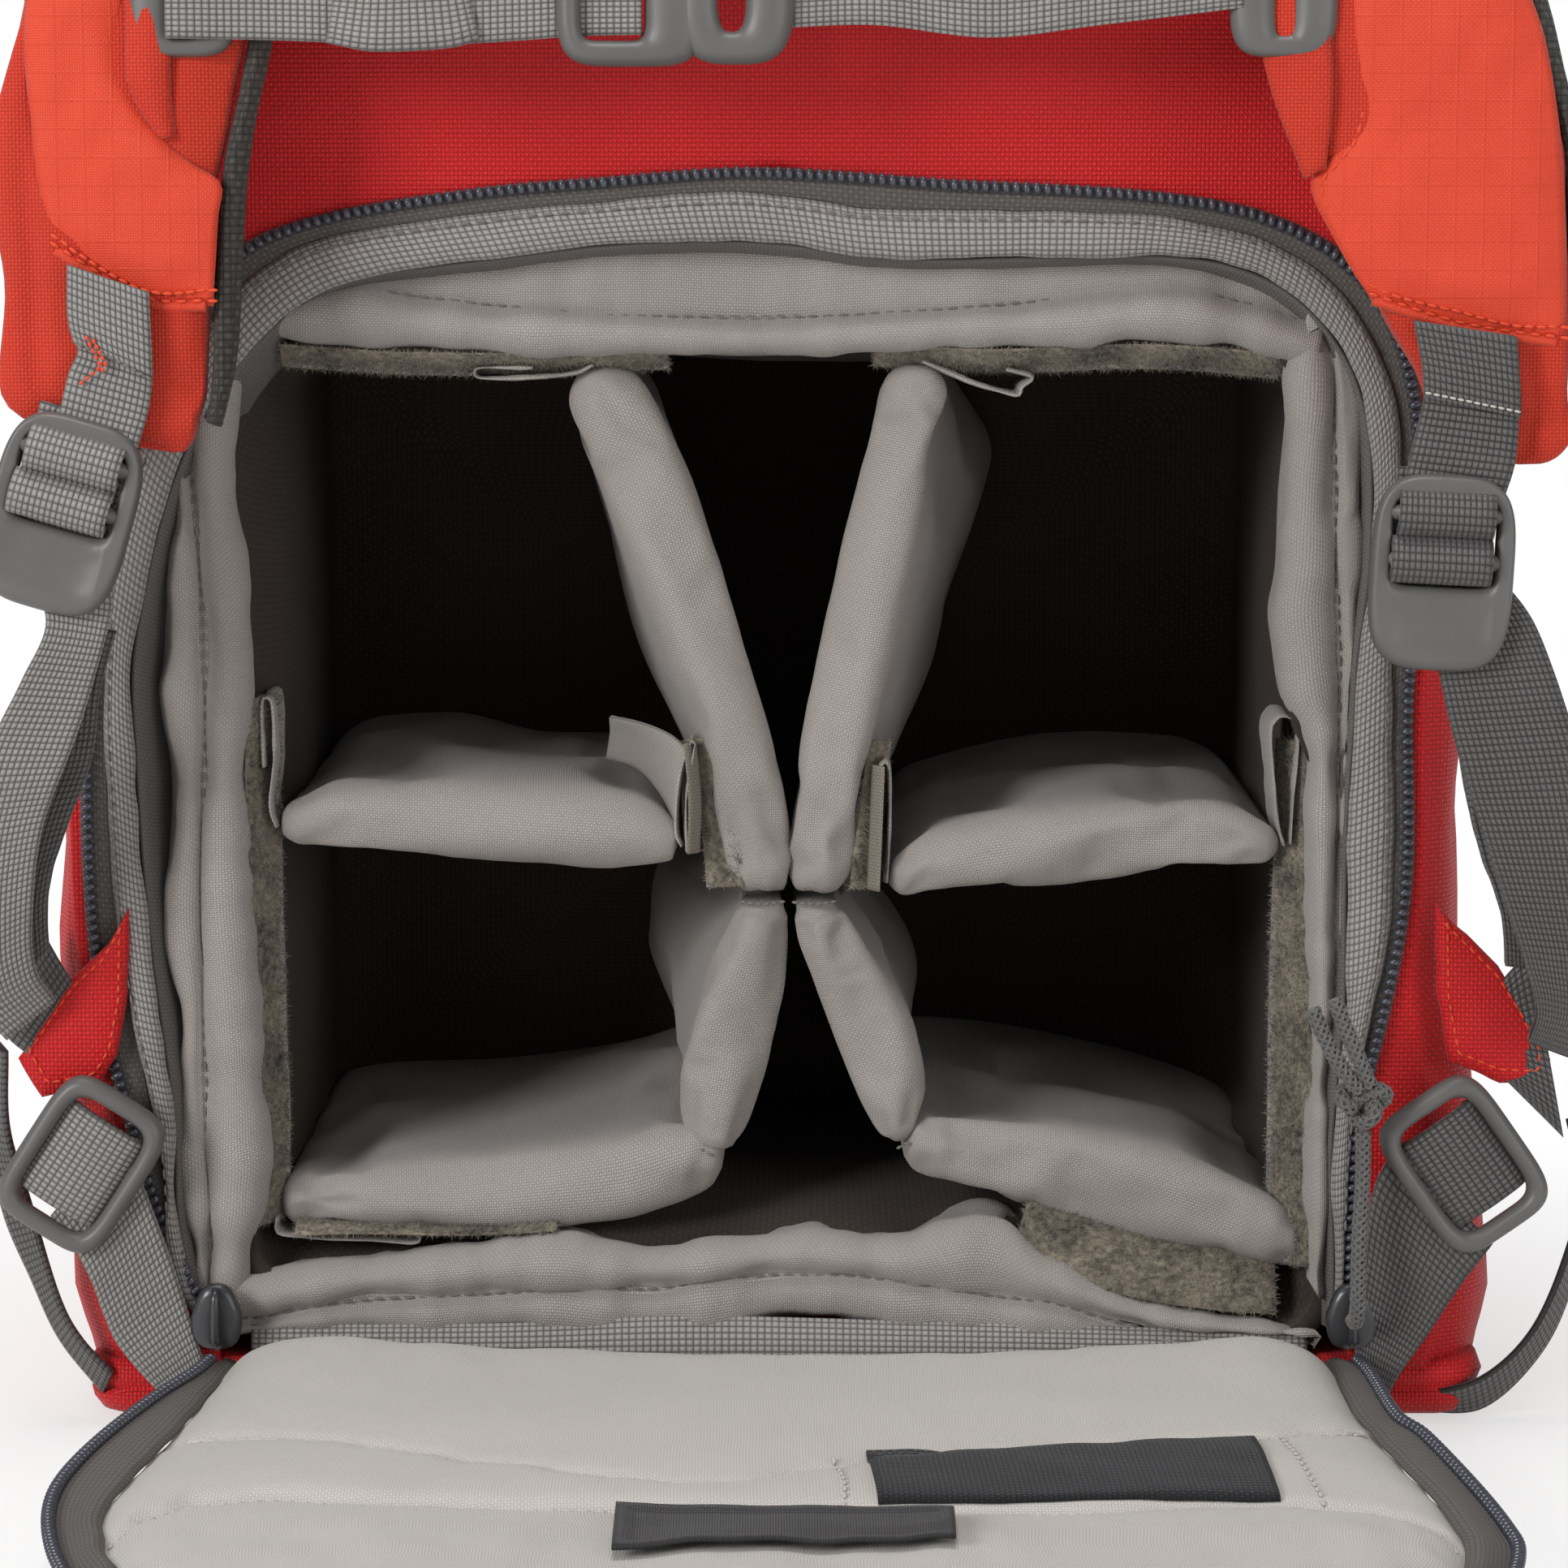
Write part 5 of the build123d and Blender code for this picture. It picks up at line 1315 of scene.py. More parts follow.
for side, (low_x, high_x) in strap_bounds.items():
    sign = -1 if side == "left" else 1
    rings = []
    for z in (
            203.2, 204.5, 206.5, 209, 212, 216, 221, 227, 234, 241, 248, 255, 262, 270, 278, 286, 295, 305,
            316, 328, 340, 352, 364, 376, 388, 400, 411, 420, 425.5):
        z = max(z, low_x[0][0] + (z - 203.2) * 0.2) if z < 206 else z
        a, b = between(low_x, z), between(high_x, z)
        middle = between(strap_mid, z)
        foot = min(1.0, (z - low_x[0][0] + 1.4) / 7) ** 0.5 * min(1.0, (426.6 - z) / 5)
        ring = []
        for k in range(29):
            u = k / 28
            x = a + (b - a) * (0.5 - 0.5 * cos(pi * u))
            from_out = (x - a) if sign < 0 else (b - x)
            swell = 5.2 * foot * (1 - abs(2 * u - 1) ** 5) ** 0.5
            swell += groove(from_out - 8.5, 1.6, 1.5 * foot)
            ring.append(Vector((x, middle - swell, z)))
        for k in range(1, 28):
            u = 1 - k / 28
            x = a + (b - a) * (0.5 - 0.5 * cos(pi * u))
            ring.append(Vector((x, middle + 4.6 * foot * (1 - abs(2 * u - 1) ** 5) ** 0.5, z)))
        rings.append(ring)
    foam = tidy_normals(loft(side + "_strap_foam", rings, lit_strap_cloth, caps=True))
    foam = puff(foam, lambda p: 1.0 if p.z > 396 or p.z < 207 else 0.0, cap=1.6, spare=0.02)
    crumple(foam, 0.7, 30, 2.0 + sign)
    box_map(foam)
    place_piece(foam, side + "_strap", (side + "_shoulder_strap",))

overlays = {
    "left": (
        [(-143.8, 246.2), (-145.2, 252.2), (-146.8, 260.7), (-147.8, 273.4), (-148.7, 284.4), (-147.6, 296),
         (-140, 318), (-116, 362), (-84, 415)],
        [(-126.8, 236.2), (-127, 246), (-128.4, 258), (-134, 272), (-138, 285), (-137.6, 297), (-129, 320),
         (-104, 362), (-73, 415)],
        [(-112.8, 235.2), (-112.4, 243.7), (-111.8, 252.2), (-111.0, 258.4), (-115.9, 261.6),
         (-120.1, 264.9), (-125.2, 270.5), (-129.4, 276.0), (-131.2, 281.9), (-131.0, 289.5), (-127, 304),
         (-114, 326), (-92, 362), (-62, 415)]),
    "right": (
        [(116.4, 236.4), (113.4, 240.4), (108.4, 248.8), (104.0, 258.1), (107, 262.6), (110.4, 266.9),
         (112.0, 273.4), (111.8, 286.1), (110.6, 296), (103, 318), (84, 358), (58, 415)],
        [(134.5, 230.8), (133, 245), (132, 262), (132.6, 280), (130, 297), (122, 320), (99, 362),
         (71, 415)],
        [(154.4, 227.9), (154.2, 245), (153.2, 262), (150.8, 279), (147.4, 292), (138, 312), (112, 362),
         (82, 415)])}
for side, lines in overlays.items():
    spread = [curve_through([(x, 0, z) for x, z in line], 120) for line in lines]
    rings = []
    for k in range(120):
        across = curve_through([line[k] for line in spread], 26)
        ring = []
        for j, p in enumerate(across):
            u = j / 25
            lift = 5.6 + 1.9 * (1 - abs(2 * u - 1) ** 4) * min(1.0, k / 5)
            lift += 0.8 * noise.noise(Vector((p.x * 0.05, 3, p.z * 0.05)))
            lift += 0.5 * noise.noise(Vector((p.x * 0.16, 8, p.z * 0.12)))
            ring.append(Vector((p.x, between(strap_mid, p.z) - lift + (0.9 if k == 0 else 0), p.z)))
        rings.append(ring)
    face = loft(side + "_strap_face", rings, ripstop, closed=False)
    modified(face, "SOLIDIFY", thickness=0.001, offset=1)
    box_map(face)
    place_piece(face, side + "_strap")

    def on_strap(x, z, lift):
        """A point raised off the strap's face."""
        return Vector((x, between(strap_mid, z) - lift, z))

    hem_line = [line[0] for line in lines]
    hem = curve_through([(x, 0, z) for x, z in hem_line], 70)
    seam_rows = [
        [on_strap(p.x, p.z + 2.2 + 0.5 * sin(k * 1.3), 7.6 if 6 < k < 63 else 7.0) for k,
         p in enumerate(hem)],
        [on_strap(p.x, p.z + 0.6, 7.2) for p in hem]]
    inner_side = spread[2] if side == "left" else spread[0]
    seam_rows.append([on_strap(p.x + (-1.8 if side == "left" else 1.8), p.z, 6.7) for p in inner_side[6:60]])
    place_piece(
        beads_along(side + "_strap_stitches", seam_rows, 2.9, (2.3, 0.8, 0.8), orange_thread),
        side + "_strap")
    place_piece(
        tube(side + "_strap_hem", [on_strap(p.x, p.z - 0.4, 6.2) for p in hem[::6]], 1.15, ripstop, 50),
        side + "_strap")


def band(name, first, second, material, thick=1.6, count=60, across=9, crown=0.0, wave=0.0, seed=0.0):
    """Webbing between its two selvedges, given as points, a little crowned or rippled."""
    a, b = curve_through(first, count), curve_through(second, count)
    rings = []
    for k in range(count):
        later, before = min(k + 1, count - 1), max(k - 1, 0)
        ahead = (a[later] + b[later] - a[before] - b[before]).normalized()
        up = ahead.cross(b[k] - a[k]).normalized()
        ring = []
        for j in range(across):
            u = j / (across - 1)
            ripple = wave * noise.noise(Vector((k * 0.16, u * 0.8, seed)))
            ring.append(a[k].lerp(b[k], u) + up * (crown * (1 - (2 * u - 1) ** 2) + ripple))
        rings.append(ring)
    piece = loft(name, rings, material, closed=False)
    return modified(piece, "SOLIDIFY", thickness=thick * mm, offset=0)


def sewn_band(name, body, first, second, *finish, nodes=(), **shape):
    """A band that rides on one body, whose other values are those of band."""
    return place_piece(band(name, first, second, *finish, **shape), body, nodes)


place_piece(
    box_map(
        band("left_mesh_edge",
            [(-41, -86, 424), (-70.5, -104, 362), (-99, -109.5, 305), (-107.2, -110.5, 274),
             (-110.2, -110.5, 261), (-112.2, -110.4, 240), (-112.9, -110.3, 218), (-114.9, -109.5, 212)],
            [(-38, -84, 424), (-67, -100, 362), (-96, -106, 305), (-104.2, -107, 279), (-107.5, -107, 261),
             (-109.0, -107, 240), (-110.2, -107, 225), (-113.6, -107, 211)], edge_mesh, 3.0, 70, 7,
            crown=0.5)),
    "left_strap")
place_piece(
    box_map(
        band("right_mesh_edge",
            [(85.5, -86, 424), (115.6, -104, 362), (142.6, -109.5, 305), (150.6, -110.5, 279),
             (155, -110.5, 262), (157, -110.3, 222)],
            [(88, -84, 424), (118.5, -100, 362), (145.4, -106, 305), (153.4, -107, 279), (157.6, -107, 262),
             (159.4, -107, 222)], edge_mesh, 3.0, 70, 7, crown=0.5)),
    "right_strap")
place_piece(
    box_map(
        band("left_face_loop",
            [(-128.6, -113.0, 305), (-128.4, -114.2, 289), (-128.0, -114.4, 278), (-122.0, -113.2, 268)],
            [(-120, -113.0, 305), (-120.6, -114.2, 288), (-121.0, -114.0, 277), (-120.6, -113.0, 268)],
            lit_strap_cloth, 2.4, 30, 9, crown=1.4)),
    "left_strap")
place_piece(
    box_map(
        band("right_face_loop",
            [(92.5, -111.6, 305), (93.4, -112.6, 290), (96.5, -112.8, 276), (103.4, -112.4, 260)],
            [(104.6, -113.4, 305), (106.6, -114.6, 290), (107.6, -114.8, 276), (106.0, -113.2, 262)],
            lit_strap_cloth, 2.4, 30, 9, crown=1.0)),
    "right_strap")

# -------------------------------------------------- webbing and its ladder-locks
# Polyester webbing 19 mm wide in a plain rib, sewn with a bar tack, and moulded
# acetal ladder-locks with a thumb tab to ease them.
acetal, tree, shader = flecked("moulded_acetal_warm_grey", 60.0, 2.0, "#565554", "#676664", 0.42)[:3]
place = add(tree, "ShaderNodeTexCoord")
grain = add(tree, "ShaderNodeTexNoise", {"Vector": place.outputs["Object"], "Scale": 1400.0, "Detail": 2.0})
pits = add(tree, "ShaderNodeBump", {"Strength": 0.16, "Distance": 0.0001, "Height": grain})
feed(tree, shader, {"Normal": pits})


def rounded(cx, cy, half_x, half_y, power, count=88):
    """A rounded rectangle as a superellipse, evenly turned."""
    out = []
    for k in range(count):
        a = 2 * pi * k / count
        c, s = cos(a), sin(a)
        x = cx + half_x * abs(c) ** (2 / power) * (1 if c > 0 else -1)
        y = cy + half_y * abs(s) ** (2 / power) * (1 if s > 0 else -1)
        out.append((x, y))
    return out


def moulded(name, outer, inner, profile, place_at, material, dish=None):
    """A moulded frame: rings from its outline to its window, each at a share and a depth."""
    rings = []
    for share, depth in profile:
        ring = []
        for (ax, ay), (bx, by) in zip(outer, inner):
            u, v = ax + (bx - ax) * share, ay + (by - ay) * share
            ring.append(place_at(u, v, depth - (dish(u, v, share) if dish else 0)))
        rings.append(ring)
    rings.append(rings[0])
    return tidy_normals(loft(name, rings, material))


def leaning(x, y, z, lean):
    """Places local points: u across, v up a piece that leans, n out towards the wearer."""
    turn = radians(lean)
    return lambda u, v, n: Vector(
        (x + u * cos(turn) + v * sin(turn), y - n, z - u * sin(turn) + v * cos(turn)))


def tab_dish(u, v, share):
    """The shallow thumb recess in a lock's tab, curved up at its upper edge."""
    if v > -22.0 or share in (0.0, 1.0):
        return 0.0
    across, along = max(0.0, 1 - (u / 10.5) ** 4), min(1.0, (-22.0 - v) / 1.5)
    return 1.2 * across * along * max(0.0, min(1.0, (v + 34) / 3))


lock_profile = (
    (0.0, 0.0), (0.0, 2.6), (0.04, 3.9), (0.12, 4.7), (0.24, 5.1), (0.36, 5.1), (0.48, 5.1), (0.6, 5.1),
    (0.72, 5.1), (0.84, 5.0), (0.93, 4.5), (0.985, 3.6), (1.0, 2.4), (1.0, 0.0), (0.5, -0.3))
# Each lock's place, as x and z, and how many degrees it leans.
for side, x, z, lean in (("left", -138.5, 210.5, 16.0), ("right", 131.4, 199.5, 3.0)):
    at = leaning(x, -113.7, z, lean)
    outer = rounded(0, -17.4, 14.3, 19.6, 3.6)
    inner = rounded(0, -11.3, 10.3, 8.8, 7)
    frame_piece = moulded(side + "_lock_frame", outer, inner, lock_profile, at, acetal, tab_dish)
    modified(frame_piece, "SUBSURF", levels=1, render_levels=1)
    place_piece(frame_piece, side + "_lock", (side + "_ladder_lock",))
    # The right side takes the darker webbing, which is painted shade.
    cloth = webbing_light if side == "left" else shaded_webbing
    for name, middle, wider, body in (
            ("upper_roll", -5.6, 0.0, "_strap"), ("lower_roll", -14.9, 1.0, "_lock")):
        rows = []
        for k in range(19):
            a = radians(-110 + 220 * k / 18)
            rows.append(
                (middle + 3.9 * sin(-a) + (0 if abs(a) < 1.6 else -0.6 * sin(-a)), 3.6 + 3.4 * cos(a)))
        first = [at(-9.6 - wider, v, n) for v, n in rows]
        second = [at(9.4, v, n) for v, n in rows]
        sewn_band(side + "_" + name, side + body, first, second, cloth, 1.6, 40, 9)
    under_lock = ((3, 0.6), (-4, -1.2), (-14, -1.4), (-21, -1.0))
    first, second = ([at(u, v, n) for v, n in under_lock] for u in (-9.8, 9.6))
    sewn_band(side + "_lock_pass", side + "_lock", first, second, cloth, 1.5, 24, 9)
    for v in (-5.6, -14.9):
        place_piece(
            tube(side + "_bar", [at(-11, v, 3.4), at(11, v, 3.4)], 1.7, acetal, 6, 12), side + "_lock")

sewn_band(
    "left_hanger", "left_strap",
    [(-140.5, -115.6, 242.5), (-140.7, -115.4, 232), (-139.4, -115.2, 226.2), (-141.3, -115.6, 221.4),
     (-143.5, -115.6, 213), (-146.8, -115.4, 207)],
    [(-125.2, -115.6, 237.5), (-124.9, -115.8, 226), (-124.9, -115.4, 219.7), (-125.8, -115.8, 213.7),
     (-128.0, -115.8, 206.5), (-129, -115.4, 202)],
    webbing_light, 1.7, 50, 9, wave=0.4, seed=1.0, nodes=("left_hanger_webbing",))
sewn_band(
    "left_hanger_fold", "left_strap",
    [(-140.9, -117.2, 243), (-141.0, -117.2, 233), (-139.8, -117.0, 227.6)],
    [(-125.0, -117.2, 237.6), (-124.6, -117.4, 227), (-124.6, -117.0, 220.8)], webbing_light, 1.5, 24, 9,
    crown=0.3)
sewn_band(
    "right_hanger", "right_strap",
    [(124.3, -115.6, 232), (126.1, -115.6, 222), (126.4, -115.4, 216.3), (124.6, -115.6, 208),
     (122.6, -115.2, 198)],
    [(144.2, -115.6, 229), (145.0, -115.8, 216), (145.2, -115.6, 212), (144.6, -115.8, 204),
     (142.4, -115.2, 196)],
    shaded_webbing, 1.7, 50, 9, wave=0.4, seed=2.0, nodes=("right_hanger_webbing",))
sewn_band(
    "right_hanger_fold", "right_strap",
    [(124.0, -117.2, 232), (125.9, -117.2, 223), (126.2, -117.0, 217.0)],
    [(144.4, -117.2, 228.6), (145.2, -117.4, 218), (145.4, -117.0, 213.0)], shaded_webbing, 1.5, 24, 9,
    crown=0.3)
place_piece(
    beads_along("left_bar_tack",
        [[(-138.6, -118.4, 227.2), (-132, -118.4, 224.6), (-125.2, -118.2, 220.8)]], 1.6, (1.5, 0.6, 0.6),
        seam_thread),
    "left_strap")
place_piece(
    beads_along("left_orange_tack",
        [[(-137.2, -118.5, 228.6), (-134.2, -118.5, 222.4)],
         [(-135.8, -118.5, 228), (-133.6, -118.5, 223.6)],
         [(-138.5, -117.6, 219.8), (-134.0, -117.6, 223.5)]], 1.2, (1.2, 0.8, 0.5), orange_thread),
    "left_strap")
place_piece(
    beads_along("right_bar_tack", [[(127.0, -118.4, 217.8), (133, -118.6, 216.6), (144.6, -118.4, 214.2)]],
        1.6, (1.5, 0.6, 0.6), pale_thread),
    "right_strap")


def adjuster(name, first, second, material, nodes=(), seed=0.0):
    """Webbing from the gusset up to a lock, in one fixed bent shape that follows no body."""
    piece = band(name, first, second, material, 1.6, 80, 9, wave=0.6, seed=seed)
    if nodes:
        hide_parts(*nodes)
    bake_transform(piece)
    return piece


adjuster(
    "left_adjuster_main",
    [(-150.5, -114.5, 183), (-147, -113.4, 172), (-152.5, -112, 160), (-159.5, -110, 146),
     (-164, -107, 128), (-166.5, -102, 106), (-165.5, -96, 92), (-160.5, -90, 84)],
    [(-133.5, -114.5, 180), (-134.2, -113, 172.8), (-138.9, -111, 157.3), (-142.4, -110, 147.4),
     (-149.4, -107, 130), (-152.6, -102, 112), (-153.2, -96, 100), (-150.2, -90, 92)],
    webbing_light, ("left_adjuster_webbing",), seed=3.0)
adjuster(
    "left_adjuster_return",
    [(-144.5, -110.4, 172), (-145.6, -107, 156), (-147.4, -104, 144), (-152.4, -102, 130),
     (-156.4, -98, 112), (-156.6, -93, 98)],
    [(-133.4, -110.6, 170), (-137.2, -107, 158), (-139.7, -104, 143.6), (-144.9, -102, 130.2),
     (-149.8, -98, 116.8), (-151, -93, 103)],
    shaded_webbing, seed=4.0)
adjuster(
    "right_adjuster_main",
    [(122.5, -114.5, 178), (129.4, -113.2, 166), (133.2, -111.5, 152), (137.6, -110, 137.5),
     (144, -107.5, 119), (149.6, -104, 104), (153.6, -99, 92), (153.0, -93, 84)],
    [(143.5, -114.5, 180), (149.4, -113.6, 172), (155.2, -112, 158), (160.5, -110, 142), (164.5, -107, 122),
     (167, -102, 104), (166.5, -96, 90), (163, -90, 80)],
    shaded_webbing, ("right_adjuster_webbing",), seed=5.0)
adjuster(
    "right_adjuster_return",
    [(134.2, -110.8, 152), (136.4, -108, 140), (140.2, -105, 126), (145.6, -101, 112), (147.6, -95, 100)],
    [(143.5, -110.8, 152), (146.5, -108, 138), (149.4, -105, 124), (152.4, -101, 110), (153.8, -95, 99)],
    shaded_webbing, seed=6.0)

# --------------------------------------------- gussets, belt webbing and rings
# Red gussets hold the lower webbing to the side seams; the belt webbing comes up
# from the base, through a moulded ring and back on itself.
gussets = {
    "left": [(-135.5, 110), (-139.8, 102.5), (-147.5, 95.5), (-152.4, 88.6), (-159.2, 78.4), (-154.4, 70.0),
        (-142.4, 72.6), (-138.6, 79.0), (-136.0, 92)],
    "right": [(134.8, 111), (141.4, 104.5), (148.0, 97.8), (153.9, 88.6), (159.3, 78.2), (158.6, 73.0),
        (148.9, 73.4), (138.2, 77.8), (135.4, 92)]}
for side, points in gussets.items():
    line = []
    for (ax, az), (bx, bz) in zip(points, points[1:] + points[:1]):
        line += [Vector((ax + (bx - ax) * k / 6, 0, az + (bz - az) * k / 6)) for k in range(6)]
    middle = sum(line, Vector()) / len(line)
    rings = []
    for grow, y in (
            (0.2, -81.0), (0.75, -80.6), (0.98, -81.4), (1.0, -82.6), (0.985, -83.8), (0.94, -84.5),
            (0.85, -84.9), (0.6, -85.2), (0.3, -85.4), (0.06, -85.4)):
        rings.append(
            [Vector((middle.x + (p.x - middle.x) * grow, y, middle.z + (p.z - middle.z) * grow))
             for p in line])
    gusset = tidy_normals(loft(side + "_gusset_pad", rings, shaded_red_cloth, caps=True))
    crumple(gusset, 0.5, 9, 3.0)
    place_piece(box_map(gusset), "root", (side + "_gusset",))
    box_seam = [middle + (p - middle) * 0.8 for p in line]
    rows = [[Vector((p.x, -85.1, p.z)) for p in [*box_seam, box_seam[0]]]]
    place_piece(
        beads_along(side + "_gusset_stitches", rows, 2.4, (1.9, 0.6, 0.6), orange_thread), "root")
sewn_band(
    "left_gusset_webbing", "root", [(-154.7, -84.5, 107.8), (-150.5, -84.5, 100), (-146, -83.6, 92)],
    [(-164, -84.5, 93), (-161.5, -84.5, 84), (-155, -83.6, 78)], shaded_webbing, 1.6, 16, 9)
sewn_band(
    "right_gusset_webbing", "root", [(154.5, -84.5, 101), (150.5, -84.2, 97), (145, -83.6, 90)],
    [(162, -84.5, 62), (156, -84.2, 68), (150, -83.6, 74)], shaded_webbing, 1.6, 16, 9)

ring_profile = (
    (0.0, 0.6), (0.0, 3.4), (0.12, 4.6), (0.35, 5.4), (0.65, 5.4), (0.88, 4.6), (1.0, 3.4), (1.0, 0.6),
    (0.5, 0.0))
# Each ring's own lean follows its joint; its corners are rounded like a bar bent round.
for side, x, z, lean in (("left", -139.0, 59.0, 33.0), ("right", 139.0, 59.0, -35.0)):
    at = leaning(x - (6.3 if side == "left" else -1.6), -87.4, z - 1.6, lean)
    ring_piece = moulded(
        side + "_ring", rounded(0, 0, 12.9, 17.2, 4.6), rounded(0, 0, 8.9, 13.0, 5.5), ring_profile, at,
        acetal)
    modified(ring_piece, "SUBSURF", levels=1, render_levels=1)
    place_piece(ring_piece, side + "_ring", (side + "_belt_ring",))
    # The right side takes the darker webbing, which is painted shade.
    cloth = webbing_light if side == "left" else shaded_webbing
    over_ring = ((-8.4, 0.6), (-6, 2.4), (0, 3.2), (6, 2.4), (8.4, 0.6))
    first, second = ([at(u, v, n) for u, n in over_ring] for v in (-10.4, 10.4))
    sewn_band(side + "_ring_webbing", side + "_ring", first, second, cloth, 2.6, 24, 11)
sewn_band(
    "left_belt_band", "root",
    [(-152.0, -88.6, 46.5), (-145.6, -88.0, 36), (-142.3, -85.6, 25.9), (-139.0, -84.4, 17.8),
     (-130.0, -83.4, 6.6)],
    [(-138.6, -88.6, 62.5), (-133.8, -88.0, 54.5), (-127.8, -85.6, 36.5), (-124.8, -84.4, 26),
     (-121.0, -83.4, 13)],
    webbing_light, 2.2, 40, 11, wave=0.3, nodes=("left_belt_webbing",))
sewn_band(
    "right_belt_band", "root",
    [(127.0, -88.6, 61.5), (122.4, -88.0, 51.8), (120.6, -85.6, 37.5), (119.4, -84.4, 23.2),
     (119.6, -83.4, 10)],
    [(147.0, -88.6, 40.5), (140.9, -88.0, 32.0), (134.6, -85.6, 21.0), (128.6, -84.4, 11.6),
     (126.6, -83.4, 7)],
    shaded_webbing, 2.2, 40, 11, wave=0.3, nodes=("right_belt_webbing",))
sewn_band(
    "left_outer_loop", "root",
    [(-164.5, -80, 82), (-165.2, -80, 60), (-163.0, -80, 45), (-157.4, -80, 31), (-151.9, -79, 18),
     (-143.4, -77, 6)],
    [(-161.6, -84, 80), (-161.5, -84, 64), (-157.3, -84, 48.5), (-151.9, -83, 28), (-147.4, -82, 18.5),
     (-141, -81, 11)],
    shaded_webbing, 1.5, 50, 7)
sewn_band(
    "right_outer_loop", "root",
    [(163, -85, 66), (166.2, -84, 52), (163.2, -83, 36), (156.6, -82, 20), (146.6, -80, 9.6),
     (134, -78, 5.5)],
    [(166, -80, 66), (168.4, -79, 48), (166.2, -78, 33), (160, -77, 16), (148, -75, 2.6), (134, -74, 1.4)],
    shaded_webbing, 1.5, 60, 9)

# ------------------------------------------------------------- the sternum strap
# A side-release buckle between two pieces of webbing that hang from sliders on
# the shoulder straps.
plug_at = leaning(0, -112.6, 297, 0)
plug_outer = [(u - 30, v) for u, v in rounded(0, 0, 14.6, 15.6, 4.5)]
plug_inner = [(u - 33.5, v) for u, v in rounded(0, 0, 6.2, 10.4, 7)]
buckle_profile = (
    (0.0, 0.0), (0.0, 5.0), (0.06, 7.2), (0.2, 8.6), (0.45, 9.2), (0.7, 9.0), (0.92, 8.2), (1.0, 6.6),
    (1.0, 0.0))
plug_piece = moulded("plug_frame", plug_outer, plug_inner, buckle_profile, plug_at, acetal)
modified(plug_piece, "SUBSURF", levels=1, render_levels=1)
place_piece(plug_piece, "plug", ("sternum_plug",))
socket_outer = [(u - 9.5, v) for u, v in rounded(0, 0, 11.8, 15.2, 3.2)]
socket_inner = [(u - 10.2, v - 1.0) for u, v in rounded(0, 0, 2.6, 7.6, 3)]
socket_piece = moulded("socket_frame", socket_outer, socket_inner, buckle_profile, plug_at, acetal)
modified(socket_piece, "SUBSURF", levels=1, render_levels=1)
place_piece(socket_piece, "root", ("sternum_socket",))
sewn_band(
    "sternum_left_band", "plug",
    [(-121, -117.2, 307), (-98, -116.0, 307.4), (-72, -117.4, 306.5), (-52, -116.2, 307),
     (-40, -117.4, 307), (-27.8, -119.6, 306.6)],
    [(-121, -117.2, 287), (-98, -116.0, 286.6), (-72, -117.4, 285.6), (-52, -116.2, 286.6),
     (-40, -117.4, 287.4), (-27.8, -119.6, 287.6)],
    webbing_light, 1.8, 70, 11, wave=0.5, seed=8.0, nodes=("sternum_webbing_left",))
sewn_band(
    "sternum_fold", "plug",
    [(-85, -118.6, 305), (-78, -120.6, 306), (-70, -119.4, 306.6), (-64, -117.8, 306)],
    [(-89, -118.2, 286), (-80, -121.2, 284.4), (-66, -120.0, 285.0), (-60, -117.6, 286.5)], webbing_light,
    1.8, 24, 9, wave=1.2, seed=2.0)
sewn_band(
    "sternum_right_band", "root",
    [(-1, -116.6, 307), (18, -115.6, 308.5), (40, -115.8, 307.5), (62, -115.8, 309), (90, -115.4, 309)],
    [(-1, -116.6, 289), (18, -115.6, 289.6), (40, -115.8, 287.2), (62, -115.8, 289.6), (90, -115.4, 293)],
    webbing_light, 1.8, 70, 11, wave=0.6, seed=9.0, nodes=("sternum_webbing_right",))
for side, x in (("left", -118), ("right", 98)):
    at = leaning(x, -112.2, 297, 0)
    place_piece(
        moulded(side + "_rail_clip", rounded(0, 0, 10.6, 13.6, 4), rounded(0, 0, 1.8, 9.4, 5),
            ((0, 0), (0, 2.0), (0.05, 3.2), (0.2, 4.2), (0.6, 4.4), (0.95, 3.8), (1.0, 2.6), (1.0, 0)), at,
            acetal),
        side + "_strap", (side + "_rail_slider",))

# -------------------------------------------------------- sliders and pull cord
# Painted die-cast sliders on the coils. The right one of the door is pulled by a
# braided nylon cord, knotted with both ends left long.
cast_metal = plain("die_cast_zinc_painted_dark", "#2F3033", 0.38, coat=0.3)


def zip_slider(name, at, body, node):
    """A wedge-nosed slider body with its bridge, placed by a function of (u, v, n)."""
    rings = []
    for grow, n in ((0.72, 0.0), (0.98, 0.5), (1.0, 2.6), (0.96, 3.3), (0.7, 3.8), (0.3, 3.9), (0.05, 3.9)):
        ring = []
        for u, v in rounded(0, 0, 5.3, 6.9, 3.0, 40):
            nose = 1 - 0.34 * max(0.0, v / 6.9)
            ring.append(at(u * grow * nose, v * grow, n))
        rings.append(ring)
    shell_piece = tidy_normals(loft(name, rings, cast_metal, caps=True))
    place_piece(shell_piece, body, (node,))
    place_piece(
        tube(name + "_bridge",
            [at(0, 5.4, 3.4), at(0, 4.6, 5.0), at(0, 0, 5.6), at(0, -4.4, 5.0), at(0, -5.4, 3.4)], 1.0,
            cast_metal, 20, 8),
        body)


